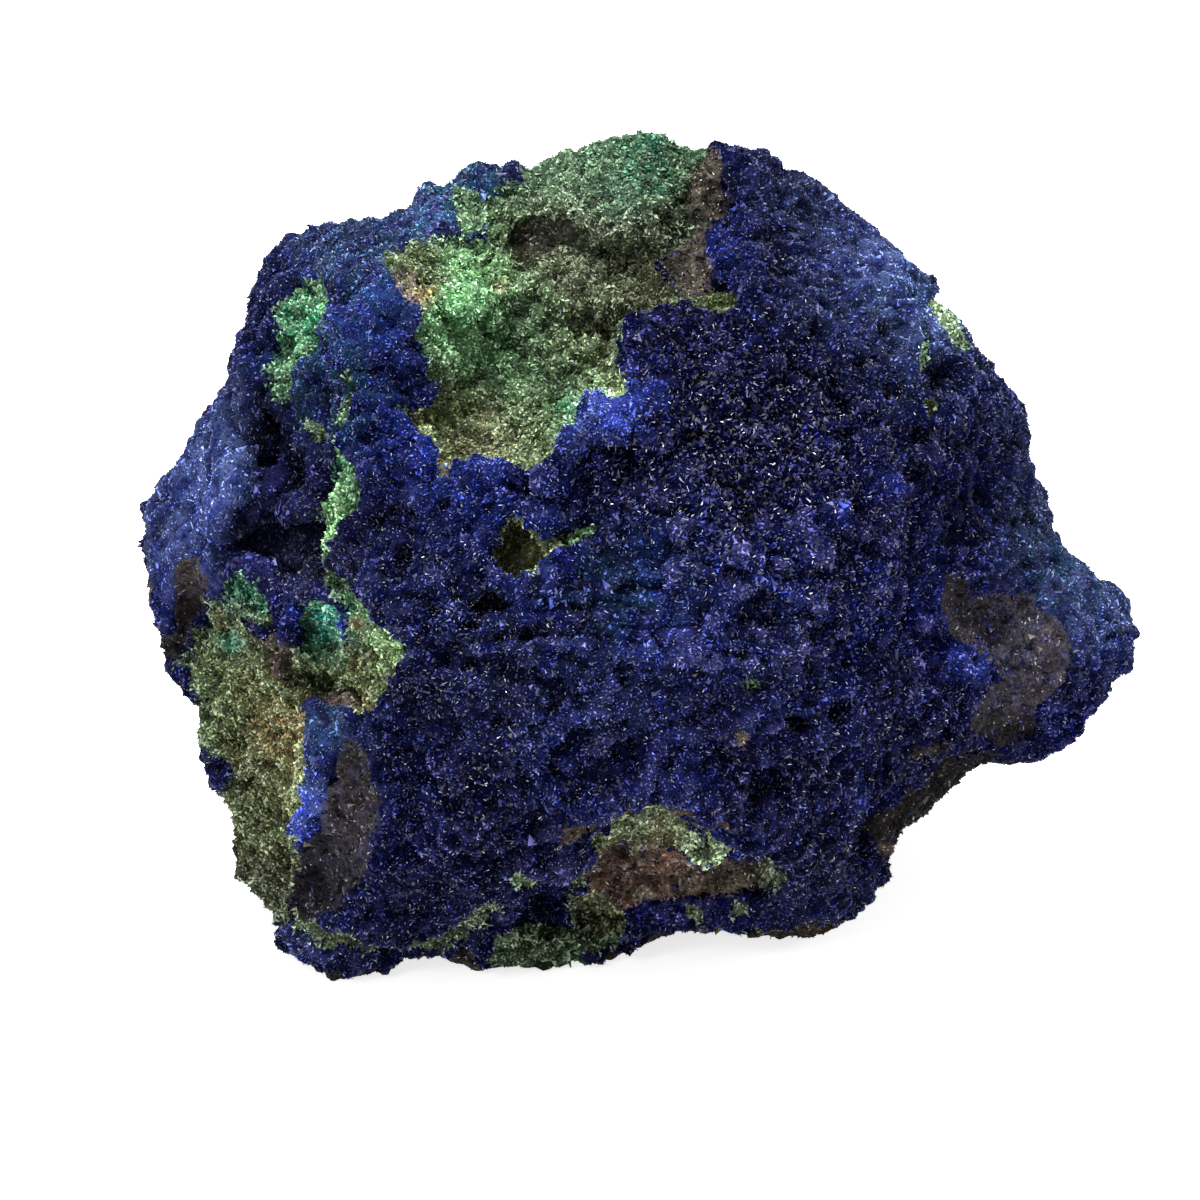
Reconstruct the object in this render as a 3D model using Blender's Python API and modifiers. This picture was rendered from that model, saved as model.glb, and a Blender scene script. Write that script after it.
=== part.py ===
"""Azurite specimen: one rough, hand-sized lump of azurite and malachite on iron-stained matrix.

The lump grew as one piece, so it is one solid. It is drawn from its main face: u runs to the right
along the face, v up it and w out of it, all in millimetres. The face leans back from upright by
FACE_LEAN. The solid starts as a sphere. Its equator is pulled out to the lump's widest outline,
and its two halves are raised to the relief of the main face and to that of the back. A remesh
evens out the skin, noise roughens it, and the lump is cut off level where its feet stand.
"""

import math

import bmesh
import bpy
import numpy as np
from mathutils import Vector, noise

NAME = "azurite_specimen"
MM = 0.001

# The face leans back by this angle, and the lump narrows a little towards its front, as if its
# sections were drawn from a point this far in front of the face.
FACE_LEAN = math.radians(25)
SIGHT_DISTANCE = 450.0

# The middle of the footprint, from the middle of the face: to the right, back and up.
FOOTPRINT = (3.2, -0.1, -26.2)

# How finely the sphere starts, the cell of the even skin, and the triangles that are kept.
SPHERE_STEPS = 7
SKIN_CELL = 0.8
KEPT_TRIANGLES = 9300

# The widest outline, clockwise from the summit: u, v, and how far forward of the middle it lies.
OUTLINE = [
    (4.0, 40.4, 3), (6.5, 39.6, 2), (8.5, 38.5, 0), (14.0, 38.2, -4), (16.5, 36.9, -6),
    (19.5, 35.3, -7), (21.0, 33.5, -8), (24.5, 30.9, -9), (26.0, 29.3, -8), (29.0, 25.2, -6),
    (31.0, 23.3, -4), (31.5, 21.3, -2), (33.0, 19.4, 0), (35.3, 17.6, 2), (36.4, 16.0, 3),
    (36.6, 10.6, 1), (38.0, 9.2, -3), (38.4, 7.3, -5), (38.2, 5.7, -7), (39.6, 3.6, -8),
    (41.5, 3.2, -7), (41.8, 1.9, -6), (44.0, 1.0, -4), (45.3, -0.9, -2), (45.8, -2.8, -1),
    (45.2, -5.2, 0), (43.8, -7.4, 1), (40.4, -11.8, 2), (38.2, -13.1, 1), (36.4, -14.2, 0),
    (34.4, -13.5, -3), (31.6, -14.1, -5), (29.9, -16.0, -5), (27.9, -18.2, -3), (25.7, -19.8, -1),
    (24.2, -21.2, 0), (24.4, -23.5, 1), (22.8, -25.2, 1), (20.5, -27.6, 0), (18.6, -28.8, -1),
    (15.5, -29.2, -2), (12.5, -28.2, 1), (6.0, -28.2, 3), (3.5, -29.6, 3), (0.0, -30.9, 3),
    (-3.2, -31.9, 4), (-6.5, -32.1, 4), (-9.5, -31.6, 5), (-12.4, -30.7, 7), (-14.5, -29.9, 8),
    (-17.0, -30.2, 7), (-19.0, -31.6, 5), (-21.0, -32.7, 5), (-23.2, -31.9, 5), (-25.3, -30.5, 4),
    (-27.0, -29.8, 2), (-28.0, -26.9, -1), (-31.5, -22.8, -3), (-31.6, -20.5, -5),
    (-31.2, -17.9, -6), (-32.8, -15.3, -5), (-33.3, -13.5, -3), (-34.7, -12.0, -1),
    (-34.1, -9.6, -2), (-36.3, -5.9, -4), (-37.8, -4.0, -6), (-38.6, 1.0, -8), (-39.1, 5.0, -9),
    (-38.5, 7.5, -9), (-37.0, 11.2, -8), (-35.3, 13.0, -6), (-34.2, 15.0, -4), (-31.0, 18.2, -3),
    (-30.5, 20.3, -3), (-29.5, 26.3, -6), (-28.4, 29.0, -7), (-26.3, 30.9, -6), (-23.8, 32.1, -4),
    (-18.2, 31.9, -2), (-17.5, 32.9, -4), (-15.9, 33.3, -6), (-14.5, 35.1, -6), (-12.5, 35.6, -5),
    (-10.7, 36.8, -3), (-8.0, 37.0, -1), (-6.3, 36.5, 1), (-1.5, 38.9, 2),
]

# The relief of the main face: u, v and w of its crests, planes and hollows.
FACE_RELIEF = {
    "azurite plane": [
        (0, 8, 27), (10, 11, 28), (20, 12, 25), (0, 0, 29), (10, 0, 29.5), (20, 1, 26),
        (-10, -3, 28), (-16, 4, 25.5), (0, -10, 28.5), (10, -10, 28), (20, -9, 24.5),
        (-10, -13, 27), (-16, -9, 25), (-16, -18, 22.5), (0, -16, 26), (11, -16, 25),
        (19, -17, 20), (-9, -20, 23), (-14, -24, 20), (-19, -25, 17), (14, 19, 26),
        (20, 21, 23.5), (-12, 8, 26.5), (-18, 12, 23),
    ],
    "right shoulder": [
        (28, 11, 18.5), (33, 12, 13.5), (35.2, 6, 10), (28, 3, 19), (27, -10, 18), (24, -15, 15),
        (29.5, 17, 17.5), (34, 15, 10), (26, 20, 20), (24, 25, 18.5), (21.5, 30, 15),
        (28.5, 22.5, 10), (25.5, 28.5, 7), (20.5, 33.3, 7.5), (14, 31, 18), (14.5, 36, 9),
    ],
    "right lobe": [
        (30, -4, 16), (34, -1, 12), (40, -3, 11), (43, -2, 7.5), (42.5, -6, 6), (37, -9.5, 8),
        (36, -12, 5.5), (31, -12, 8), (28, -15.5, 7), (24, -19, 9), (20, -24, 10),
        (40.5, 1.2, 5), (37, 6, 6),
    ],
    "summit": [
        (4, 38, 9), (-1, 36, 11), (3, 33, 16), (-3, 31, 14), (9, 36, 10), (8.6, 30, 15.5),
        (12, 27, 21.5), (1, 28, 16), (7, 26.5, 18.5), (-7, 34, 11),
    ],
    "malachite hollow": [
        (0, 23, 15), (-5, 23, 16), (4, 24, 17.5), (-1, 20, 19.5), (-7, 19, 18), (-8, 14, 22),
        (-3, 15, 23.5), (-12, 26, 20.5), (-13, 29.5, 17), (-11, 22, 19), (-13, 18, 17),
        (-8, 27, 17), (5, 21, 24.5),
    ],
    "left shoulder": [
        (-20, 30, 13), (-18, 26, 20), (-17, 21, 21), (-22, 22, 17), (-21, 15, 20.5),
        (-21.5, 8, 19.5), (-25.5, 26, 11), (-26, 20, 11), (-27.5, 28, 6), (-28.5, 22, 5),
        (-12, 33.5, 9), (-16, 31.5, 10), (-25, 13.5, 12.5), (-20.5, 0, 20.5), (-18.5, -5, 22),
    ],
    "left flank": [
        (-28, 15, 6), (-27.5, 11, 6), (-31.5, 14, 5), (-34, 11, 4), (-31.5, 9.5, 8),
        (-36, 6, 3), (-32.5, 5, 8), (-28, 6.5, 5), (-25.5, 4.5, 6.5), (-28, 2, 7.5),
        (-30.5, 0.5, 8.5), (-36.5, 1, 3), (-34.5, 0, 3.5), (-32, -3, 8), (-36, -4, 2),
    ],
    "lower left": [
        (-23.5, -2, 12), (-21.5, -3, 16), (-25.5, -1, 12), (-27.5, -4.5, 13), (-30, -8, 11.5),
        (-25, -8, 14.5), (-28, -12, 13), (-32, -12, 7.5), (-30, -17, 8), (-28.5, -21, 9.5),
        (-23, -12, 18), (-25, -18, 14.5), (-21.5, -17, 19), (-22, -23, 15.5), (-25.5, -25.5, 9),
    ],
    "foot": [
        (-20, -29, 12.5), (-24, -29, 10), (-14, -28, 12), (-10, -26, 16), (-5, -26, 12),
        (-6, -29.5, 11), (-1, -23, 16), (3, -24, 17), (10, -24, 17), (4, -19, 21.5),
        (-2, -20, 21.5), (10, -27, 11), (2, -28, 9), (17, -26.5, 10.5), (16, -22, 17.5),
    ],
}

# Parts of the face that lie below the azurite crust: an edge, how deep it drops, how wide the
# wall is.
FACE_SUNKEN = {
    "malachite hollow": (
        [(9, 46), (9.8, 38), (10.4, 33.5), (9.4, 30), (9.8, 26.8), (11.6, 25), (8, 24.6),
         (4.4, 24.2), (2.2, 22), (1.2, 20), (2.6, 17.6), (-1, 17), (-2.6, 14.8), (-5, 11.5),
         (-12.8, 11.6), (-14.2, 13.4), (-17.4, 16.2), (-14.6, 17), (-15, 20.5), (-15.8, 23.4),
         (-15.2, 25), (-18.2, 28.8), (-16, 30.4), (-9.8, 31.2), (-8.4, 34.8), (-6.4, 46)],
        3.2, 1.5),
    "under the dome": (
        [(-7.2, 31.4), (-3.4, 32.4), (-1, 31.4), (3.6, 29.6), (3.4, 27.4), (-1.6, 28.4),
         (-6.4, 28.6)],
        3.4, 1.6),
    "under the middle ledge": (
        [(-4, 24.6), (2.6, 24.6), (3.4, 22.8), (-1, 21.8), (-5, 22.6)],
        1.6, 1.4),
    "black patch": (
        [(-22.6, -12.2), (-20.4, -12), (-19, -16.5), (-19.4, -18.6), (-18.9, -22.4), (-22.4, -26),
         (-25.6, -26), (-24.8, -22), (-23.4, -18)],
        2.8, 1.4),
    "lobe patch": (
        [(29.4, 2), (31.4, -0.2), (36.6, 0.8), (40, -3.4), (37, -9), (36.6, -11.4), (31, -11),
         (34.2, -6.8), (31, -3.4), (28.8, -0.4)],
        2.8, 1.6),
    "left vug": (
        [(-32.6, 4.2), (-29.4, 6.4), (-26, 7), (-23.8, 6), (-23.2, 2.6), (-24.6, 1.2),
         (-26.4, 1), (-28.6, 3.4)],
        4.5, 2.4),
    "left slot": (
        [(-35.8, 3.2), (-34, 3.4), (-32.8, 0.6), (-34.4, -2.2), (-35.8, -4.4), (-36.4, -1)],
        4.0, 2.0),
    "turquoise niche": (
        [(-25.2, -0.2), (-22.8, -0.2), (-22, -3.8), (-23.4, -4.6), (-25.4, -3.2)],
        2.4, 1.4),
    "green flank": (
        [(-33, -0.4), (-29.6, -4.6), (-26, -5), (-23.4, -7.6), (-25.6, -12), (-26.4, -18),
         (-27.6, -26.6), (-40, -24), (-40, -2)],
        1.6, 1.6),
    "small pit": (
        [(-8.6, 6), (-7.4, 7.1), (-5.4, 5), (-4.6, 3.4), (-7, 1.6), (-8.7, 3.6)],
        4.5, 1.8),
    "low pit": (
        [(-11.6, 0.2), (-7, 0.2), (-6.4, -1.2), (-11, -2)],
        1.8, 1.4),
    "under the crust": (
        [(-7.6, -24.2), (-2, -21.4), (-1, -19.4), (2, -17.4), (6.2, -17), (8, -19), (10.6, -19.4),
         (15.4, -22.6), (15, -24.8), (9, -26), (3, -26.6), (2, -28.2), (-5, -28.2), (-9, -27)],
        3.8, 1.4),
    "top groove": (
        [(13.4, 36.8), (15.4, 36.6), (20.4, 32.2), (18.6, 32.2)],
        1.8, 1.2),
    "block valley": (
        [(26.6, 22), (28.4, 21.4), (28.6, 16.4), (27.6, 12.6), (26.4, 12.6), (27, 17)],
        1.6, 1.6),
}

# Crests of the face: a line, how high it stands, and how far down its sides reach.
FACE_CRESTS = {
    "left crest": (
        [(-17, 28), (-16.8, 22), (-18.5, 16.5), (-20, 10), (-19.4, 4), (-17.6, -2), (-17.4, -5),
         (-20, -10.6), (-18.2, -16), (-18.4, -21.5), (-22, -26.4)],
        2.6, 3.0),
    "right crest": (
        [(12.6, 36), (19.4, 32), (24, 27), (25.6, 22.5), (25.4, 16.5), (24.4, 11)],
        2.6, 3.2),
    "block edge": ([(29, 19.4), (31.6, 18.2), (35, 16.2)], 2.2, 2.2),
    "lower crust lip": (
        [(-17.5, -25.6), (-13, -25.6), (-9, -23), (-5.5, -20.4), (-1.6, -17.4), (2.6, -15.8),
         (7.4, -15.4), (11.4, -17.6), (15, -20.2), (19, -21)],
        2.4, 2.6),
    "hollow lip": (
        [(11.8, 36), (11.6, 30), (12.4, 26.4), (8.4, 23), (4, 20.6), (3.6, 17.6), (-0.6, 15.6),
         (-4.2, 10.4), (-9, 10), (-13, 10.2)],
        1.6, 2.4),
    "dome ledge": ([(-7.6, 34), (-3, 34.4), (2, 32.2), (6, 31)], 2.2, 2.6),
    "middle ledge": ([(-12.6, 25), (-8, 26), (-2, 25.6), (3.4, 26)], 2.0, 2.4),
    "lobe top": ([(36, 4.6), (40, 1.6), (43.4, -0.4)], 1.2, 2.6),
    "green lip": ([(-34, -3), (-31, -3.6), (-28.6, -6), (-26.6, -10)], 1.0, 2.2),
}

# The back is a broken block. Each plane gives how far it lies behind the middle, and how much
# further back it goes for each step to the right and for each step up. The nearest plane counts.
BACK_PLANES = {
    "broad break": (28.0, 0.06, 0.10),
    "upper slope": (35.0, -0.05, -0.62),
    "top break": (52.0, 0.20, -1.15),
    "left slope": (34.0, 0.62, 0.05),
    "left cheek": (52.0, 1.15, 0.30),
    "right slope": (36.0, -0.72, 0.12),
    "right upper corner": (47.0, -0.62, -0.72),
    "left lower corner": (44.0, 0.72, 0.62),
    "underside": (60.0, 0.04, 2.14),
}
BACK_EDGE_ROUNDING = 1.6

# The underside ends this far behind the middle, so that the front feet stay thick.
UNDERSIDE_END = 1.0

# Parts of the back that lie below its crust, as on the face.
BACK_SUNKEN = {
    "back pocket": (
        [(-13, 20), (-8, 24), (-1, 22), (3, 25), (9, 21), (7, 16), (10, 11), (5, 8.6), (-1, 12),
         (-7, 10), (-9, 14.6)],
        4.4, 3.0),
    "pocket floor": (
        [(-5, 19), (0, 19.4), (4, 21), (5.6, 18), (3, 14), (-2, 15.4), (-6, 14.6)],
        2.6, 2.2),
    "crust break": (
        [(-40, -30), (-40, 6), (-27, 4), (-21, -2), (-13, -3.6), (-8, 1), (-2, -1.6), (4, -6),
         (12, -5), (18, -9), (27, -8), (33, -14), (33, -30)],
        2.4, 1.8),
    "side hollow": (
        [(24, 14), (31, 13), (33, 6), (28, 2), (23, 6)],
        3.0, 3.0),
    "left hollow": (
        [(-31, 20), (-24, 23), (-21, 17), (-26, 12), (-31, 13)],
        2.6, 2.6),
}
BACK_CRESTS = {
    "diagonal ridge": ([(-20, 26), (-12, 12), (-10, 4), (0, 2), (14, 4), (24, -2)], 2.2, 4.5),
    "right rear foot": ([(6, -13.5), (14, -14.5), (19, -14)], 6.5, 9.0),
    "left rear foot": ([(-17, -15.5), (-10, -15)], 5.5, 8.0),
    "cross ridge": ([(2, -10), (-6, -8), (-14, -6)], 1.8, 4.0),
}

# How fully the face and the back round over from the outline: a higher number is squarer.
FACE_SHOULDER = 2.4
BACK_SHOULDER = 2.9

# How rough the broken surface is: the width of the swells, and how far they stand out.
ROUGHNESS = [(12.0, 1.1), (5.5, 0.8), (3.0, 0.4)]
BEAD_WIDTH = 5.2
BEAD_HEIGHT = 0.75
CALM_RIM = 0.07

# The outline's small bumps fade away from it: this far towards the pole of the sphere they are
# averaged over this many steps of this angle, in radians, to each side.
CALM_HEIGHT = 0.45
CALM_ANGLE = 0.16
CALM_STEPS = 9

AZURITE_BLUE = (0.03, 0.05, 0.22, 1.0)
SURFACE_ROUGHNESS = 0.45


def clear_scene():
    for old in list(bpy.data.objects):
        bpy.data.objects.remove(old)


def smooth_step(x):
    x = np.clip(x, 0.0, 1.0)
    return x * x * (3 - 2 * x)


def noise_at(points, width):
    return np.array([noise.noise(Vector(p) / width) for p in points])


def beads_at(points, width):
    """Rounded bumps, like those of a botryoidal crust: 1 on top of a bump, 0 between them."""
    nearest = np.array([noise.voronoi(Vector(p) / width)[0][0] for p in points])
    return 1 - np.clip(nearest, 0, 1) ** 2


def outline_at(angles, calm=0.0):
    """The outline's distance from the middle and its forward shift at each angle.

    calm, in radians, is how widely the outline's small bumps are averaged away."""
    u, v, w = np.array(OUTLINE, float).T
    turn = np.unwrap(np.arctan2(v, u))
    order = np.argsort(turn)
    turn, reach, shift = turn[order], np.hypot(u, v)[order], w[order]
    if calm <= 0:
        return (np.interp(angles, turn, reach, period=math.tau),
                np.interp(angles, turn, shift, period=math.tau))
    found = [outline_at(angles + step) for step in np.linspace(-calm, calm, CALM_STEPS)]
    return np.mean([f[0] for f in found], axis=0), np.mean([f[1] for f in found], axis=0)


def thin_plate(spots, u, v):
    """The height of a thin plate bent through the spots, read at u, v."""
    spots = np.array(spots, float)
    count = len(spots)

    def bend(du, dv):
        square = du * du + dv * dv
        return square * np.log(square + 1e-9)

    flat = np.column_stack([np.ones(count), spots[:, 0], spots[:, 1]])
    table = np.zeros((count + 3, count + 3))
    table[:count, :count] = bend(spots[:, None, 0] - spots[:, 0], spots[:, None, 1] - spots[:, 1])
    table[:count, count:] = flat
    table[count:, :count] = flat.T
    weights = np.linalg.solve(table, np.append(spots[:, 2], np.zeros(3)))
    height = weights[count] + weights[count + 1] * u + weights[count + 2] * v
    for (su, sv, _), weight in zip(spots, weights):
        height += weight * bend(u - su, v - sv)
    return height


def distance_to_line(line, u, v):
    """How far each point lies from a line of straight runs."""
    nearest = np.full(len(u), np.inf)
    for (au, av), (bu, bv) in zip(line, line[1:]):
        along_u, along_v = bu - au, bv - av
        share = ((u - au) * along_u + (v - av) * along_v) / (along_u**2 + along_v**2)
        share = np.clip(share, 0, 1)
        nearest = np.minimum(nearest, np.hypot(u - au - share * along_u, v - av - share * along_v))
    return nearest


def inside_by(edge, u, v):
    """How far each point lies inside a closed edge, negative outside it."""
    inside = np.zeros(len(u), bool)
    for (au, av), (bu, bv) in zip(edge, edge[1:] + edge[:1]):
        crosses = (av > v) != (bv > v)
        inside ^= crosses & (u < au + (bu - au) * (v - av) / ((bv - av) or 1e-9))
    nearest = distance_to_line(edge + edge[:1], u, v)
    return np.where(inside, nearest, -nearest)


def detail(sunken, crests, u, v):
    """What the sunken parts and the crests add to a relief."""
    height = np.zeros(len(u))
    for edge, drop, wall in sunken.values():
        height -= drop * smooth_step(inside_by(edge, u, v) / wall + 0.5)
    for line, rise, reach in crests.values():
        height += rise * smooth_step(1 - distance_to_line(line, u, v) / reach)
    return height


def back_relief(u, v):
    planes = [depth + right * u + up * v for depth, right, up in BACK_PLANES.values()]
    nearest = -np.log(sum(np.exp(-plane / BACK_EDGE_ROUNDING) for plane in planes))
    nearest = np.maximum(nearest * BACK_EDGE_ROUNDING, UNDERSIDE_END)
    return nearest + detail(BACK_SUNKEN, BACK_CRESTS, u, v)


def lump_shape(sphere):
    """Where the points of a unit sphere, with its pole along w, lie on the lump."""
    x, y, z = sphere.T
    angle = np.arctan2(y, x)
    reach, shift = outline_at(angle)
    calm_reach, calm_shift = outline_at(angle, calm=CALM_ANGLE)
    away = smooth_step(np.abs(z) / CALM_HEIGHT)
    reach = reach + (calm_reach - reach) * away
    shift = shift + (calm_shift - shift) * away
    u = reach * x
    v = reach * y

    spots = [spot for region in FACE_RELIEF.values() for spot in region]
    face = thin_plate(spots, u, v) + detail(FACE_SUNKEN, FACE_CRESTS, u, v)
    face_rise = 1 - (1 - np.abs(z)) ** FACE_SHOULDER
    back_rise = 1 - (1 - np.abs(z)) ** BACK_SHOULDER
    front = shift + (face - shift) * face_rise
    behind = shift - (back_relief(u, v) + shift) * back_rise
    return np.column_stack([u, v, np.where(z > 0, front, behind)])


def roughened(points, normals):
    """The points moved in and out by noise, and kept in the outline near the rim."""
    push = BEAD_HEIGHT * (beads_at(points, BEAD_WIDTH) - 0.5)
    for width, height in ROUGHNESS:
        push += 2 * height * noise_at(points, width)
    u, v, _ = points.T
    within = 1 - np.hypot(u, v) / outline_at(np.arctan2(v, u))[0]
    move = normals * push[:, None]
    move[:, :2] *= smooth_step(within / CALM_RIM)[:, None]
    return points + move


def stood_up(points):
    """Points of the face's frame turned upright, from the middle of the footprint."""
    u, v, w = points.T
    narrowing = 1 - w / SIGHT_DISTANCE
    u, v = u * narrowing, v * narrowing
    lean_cos, lean_sin = math.cos(FACE_LEAN), math.sin(FACE_LEAN)
    upright = np.column_stack([u, v * lean_sin - w * lean_cos, v * lean_cos + w * lean_sin])
    return upright - np.array(FOOTPRINT)


def read(mesh, name):
    values = np.empty(len(mesh.vertices) * 3)
    mesh.vertices.foreach_get(name, values)
    return values.reshape(-1, 3)


def place(mesh, points):
    mesh.vertices.foreach_set("co", points.ravel())
    mesh.update()


def with_modifier(mesh, kind, **settings):
    """A new mesh: this one with one modifier applied."""
    carrier = bpy.data.objects.new("carrier", mesh)
    bpy.context.scene.collection.objects.link(carrier)
    modifier = carrier.modifiers.new(kind.lower(), kind)
    for name, value in settings.items():
        setattr(modifier, name, value)
    evaluated = carrier.evaluated_get(bpy.context.evaluated_depsgraph_get())
    made = bpy.data.meshes.new_from_object(evaluated)
    bpy.data.objects.remove(carrier)
    bpy.data.meshes.remove(mesh)
    return made


def joined_faces(start):
    """The faces that can be reached from this one over its edges."""
    found, waiting = {start}, [start]
    while waiting:
        for edge in waiting.pop().edges:
            for face in edge.link_faces:
                if face not in found:
                    found.add(face)
                    waiting.append(face)
    return found


def drop_crumbs(work):
    """Removes all but the largest closed skin: folds near the outline can leave a crumb."""
    skins, left = [], set(work.faces)
    while left:
        skins.append(joined_faces(next(iter(left))))
        left -= skins[-1]
    largest = max(skins, key=len)
    crumbs = [face for face in work.faces if face not in largest]
    bmesh.ops.delete(work, geom=crumbs, context="FACES")


def cut_level_at_feet(mesh):
    """Cuts off what would reach below the surface that the lump stands on."""
    work = bmesh.new()
    work.from_mesh(mesh)
    drop_crumbs(work)
    cut = bmesh.ops.bisect_plane(
        work, geom=work.verts[:] + work.edges[:] + work.faces[:], dist=1e-6,
        plane_co=(0, 0, 0), plane_no=(0, 0, 1), clear_inner=True)
    edges = [item for item in cut["geom_cut"] if isinstance(item, bmesh.types.BMEdge)]
    bmesh.ops.holes_fill(work, edges=edges, sides=0)
    bmesh.ops.triangulate(work, faces=work.faces[:])
    bmesh.ops.recalc_face_normals(work, faces=work.faces)
    work.to_mesh(mesh)
    work.free()


def azurite_material():
    material = bpy.data.materials.new("azurite and malachite")
    material.use_nodes = True
    shader = material.node_tree.nodes["Principled BSDF"]
    shader.inputs["Base Color"].default_value = AZURITE_BLUE
    shader.inputs["Roughness"].default_value = SURFACE_ROUGHNESS
    shader.inputs["Metallic"].default_value = 0.0
    return material


def build_specimen():
    work = bmesh.new()
    bmesh.ops.create_icosphere(work, subdivisions=SPHERE_STEPS, radius=1.0)
    mesh = bpy.data.meshes.new(NAME)
    work.to_mesh(mesh)
    work.free()

    place(mesh, lump_shape(read(mesh, "co")))
    mesh = with_modifier(mesh, "REMESH", mode="VOXEL", voxel_size=SKIN_CELL)
    place(mesh, stood_up(roughened(read(mesh, "co"), read(mesh, "normal"))) * MM)
    triangles = sum(len(face.vertices) - 2 for face in mesh.polygons)
    mesh = with_modifier(mesh, "DECIMATE", ratio=KEPT_TRIANGLES / triangles)
    cut_level_at_feet(mesh)

    mesh.name = NAME
    mesh.materials.append(azurite_material())
    group = bpy.data.collections.new(NAME)
    bpy.context.scene.collection.children.link(group)
    group.objects.link(bpy.data.objects.new(NAME, mesh))


clear_scene()
build_specimen()
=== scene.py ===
import math

import bmesh
import bpy
import numpy as np
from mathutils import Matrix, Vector, noise


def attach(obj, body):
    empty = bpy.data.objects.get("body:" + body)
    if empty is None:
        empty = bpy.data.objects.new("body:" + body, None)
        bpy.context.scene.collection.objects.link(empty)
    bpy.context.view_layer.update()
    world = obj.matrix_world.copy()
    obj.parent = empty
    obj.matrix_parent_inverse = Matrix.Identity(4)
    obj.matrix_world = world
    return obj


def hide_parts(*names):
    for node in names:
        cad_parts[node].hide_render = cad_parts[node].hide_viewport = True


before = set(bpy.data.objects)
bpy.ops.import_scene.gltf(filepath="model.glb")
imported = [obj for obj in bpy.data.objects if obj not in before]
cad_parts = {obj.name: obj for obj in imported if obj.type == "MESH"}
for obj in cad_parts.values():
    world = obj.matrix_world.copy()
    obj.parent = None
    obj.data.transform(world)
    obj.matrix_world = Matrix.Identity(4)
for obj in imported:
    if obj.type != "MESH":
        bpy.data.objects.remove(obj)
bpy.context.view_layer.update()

# ---------------------------------------------------------------------------------------------
# The table and the light. A plain white table, lit faintly from within, stands under an overhead
# softbox, with two small ones at the front left and the right. The lump's main blue face looks
# towards the camera, which looks down on it.
# ---------------------------------------------------------------------------------------------
MM = 0.001
SIGHT_DISTANCE = 450.0
PICTURE_WIDTH = 102.0
SENSOR_WIDTH = 36.0
LEAN_COS = math.cos(math.radians(25))
LEAN_SIN = math.sin(math.radians(25))
TO_CAMERA = (0, -LEAN_COS, LEAN_SIN)
FACE_MIDDLE = np.array((-3.2, 0.1, 26.2))
TABLE_REACH = 2.5
LAMPS_AIM = Vector((0, 0, 0.03))
# Each lamp's place, size and power.
SOFTBOXES = {
    "overhead softbox": ((-0.12, 0.03, 0.80), 0.45, 15.0),
    "front softbox": ((-0.50, -0.60, 0.50), 0.25, 1.8),
    "right softbox": ((0.75, -0.10, 0.40), 0.25, 1.4),
}


def set_out(name, data):
    """A new object in the scene."""
    thing = bpy.data.objects.new(name, data)
    bpy.context.scene.collection.objects.link(thing)
    return thing


def look(thing, place, direction):
    """Puts a camera or a lamp in its place, looking this way."""
    thing.location = place
    thing.rotation_mode = "QUATERNION"
    thing.rotation_quaternion = direction.to_track_quat("-Z", "Y")


def new_material(name, finish):
    """A material with this finish, its nodes and its shader."""
    material = bpy.data.materials.new(name)
    material.use_nodes = True
    shader = material.node_tree.nodes["Principled BSDF"]
    for label, value in finish.items():
        shader.inputs[label].default_value = value
    return material, material.node_tree, shader


lens = bpy.data.cameras.new("camera")
lens.sensor_width = SENSOR_WIDTH
lens.lens = SENSOR_WIDTH * SIGHT_DISTANCE / PICTURE_WIDTH
lens.clip_start, lens.clip_end = 0.01, 10.0
camera = set_out("camera", lens)
towards = Vector(TO_CAMERA)
look(camera, Vector(FACE_MIDDLE) * MM + towards * SIGHT_DISTANCE * MM, -towards)
bpy.context.scene.camera = camera

table = bpy.data.meshes.new("table")
quarters = ((-1, -1), (1, -1), (1, 1), (-1, 1))
table.from_pydata([(x * TABLE_REACH, y * TABLE_REACH, 0) for x, y in quarters], [], [(0, 1, 2, 3)])
table.materials.append(new_material("white table", {
    "Base Color": (0.92, 0.92, 0.92, 1), "Roughness": 0.7, "Specular IOR Level": 0.0,
    "Emission Color": (1, 1, 1, 1), "Emission Strength": 0.75})[0])
set_out("table", table)

for name, (place, size, power) in SOFTBOXES.items():
    light = bpy.data.lights.new(name, "AREA")
    light.shape = "SQUARE"
    light.size = size
    light.energy = power
    look(set_out(name, light), place, LAMPS_AIM - Vector(place))
room = bpy.data.worlds.new("room")
bpy.context.scene.world = room
room.use_nodes = True
room.node_tree.nodes["Background"].inputs["Color"].default_value = (1, 1, 1, 1)
room.node_tree.nodes["Background"].inputs["Strength"].default_value = 0.45
bpy.context.scene.view_settings.view_transform = "Standard"

# ---------------------------------------------------------------------------------------------
# The lump. Azurite grew as a dark blue crust over green malachite, which lines the hollows and
# shows wherever the crust is broken. Under both lies iron-stained, near-black matrix.
# ---------------------------------------------------------------------------------------------
SKIN_CELL = 0.37
LUMP_SPLIT = 1.5
BORDER = 0.6
# Rounds of averaging for the lump's broad form, its small hollows and its wide dips.
BROAD_ROUNDS, HOLLOW_ROUNDS, DIP_ROUNDS = 70, 12, 60

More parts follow.
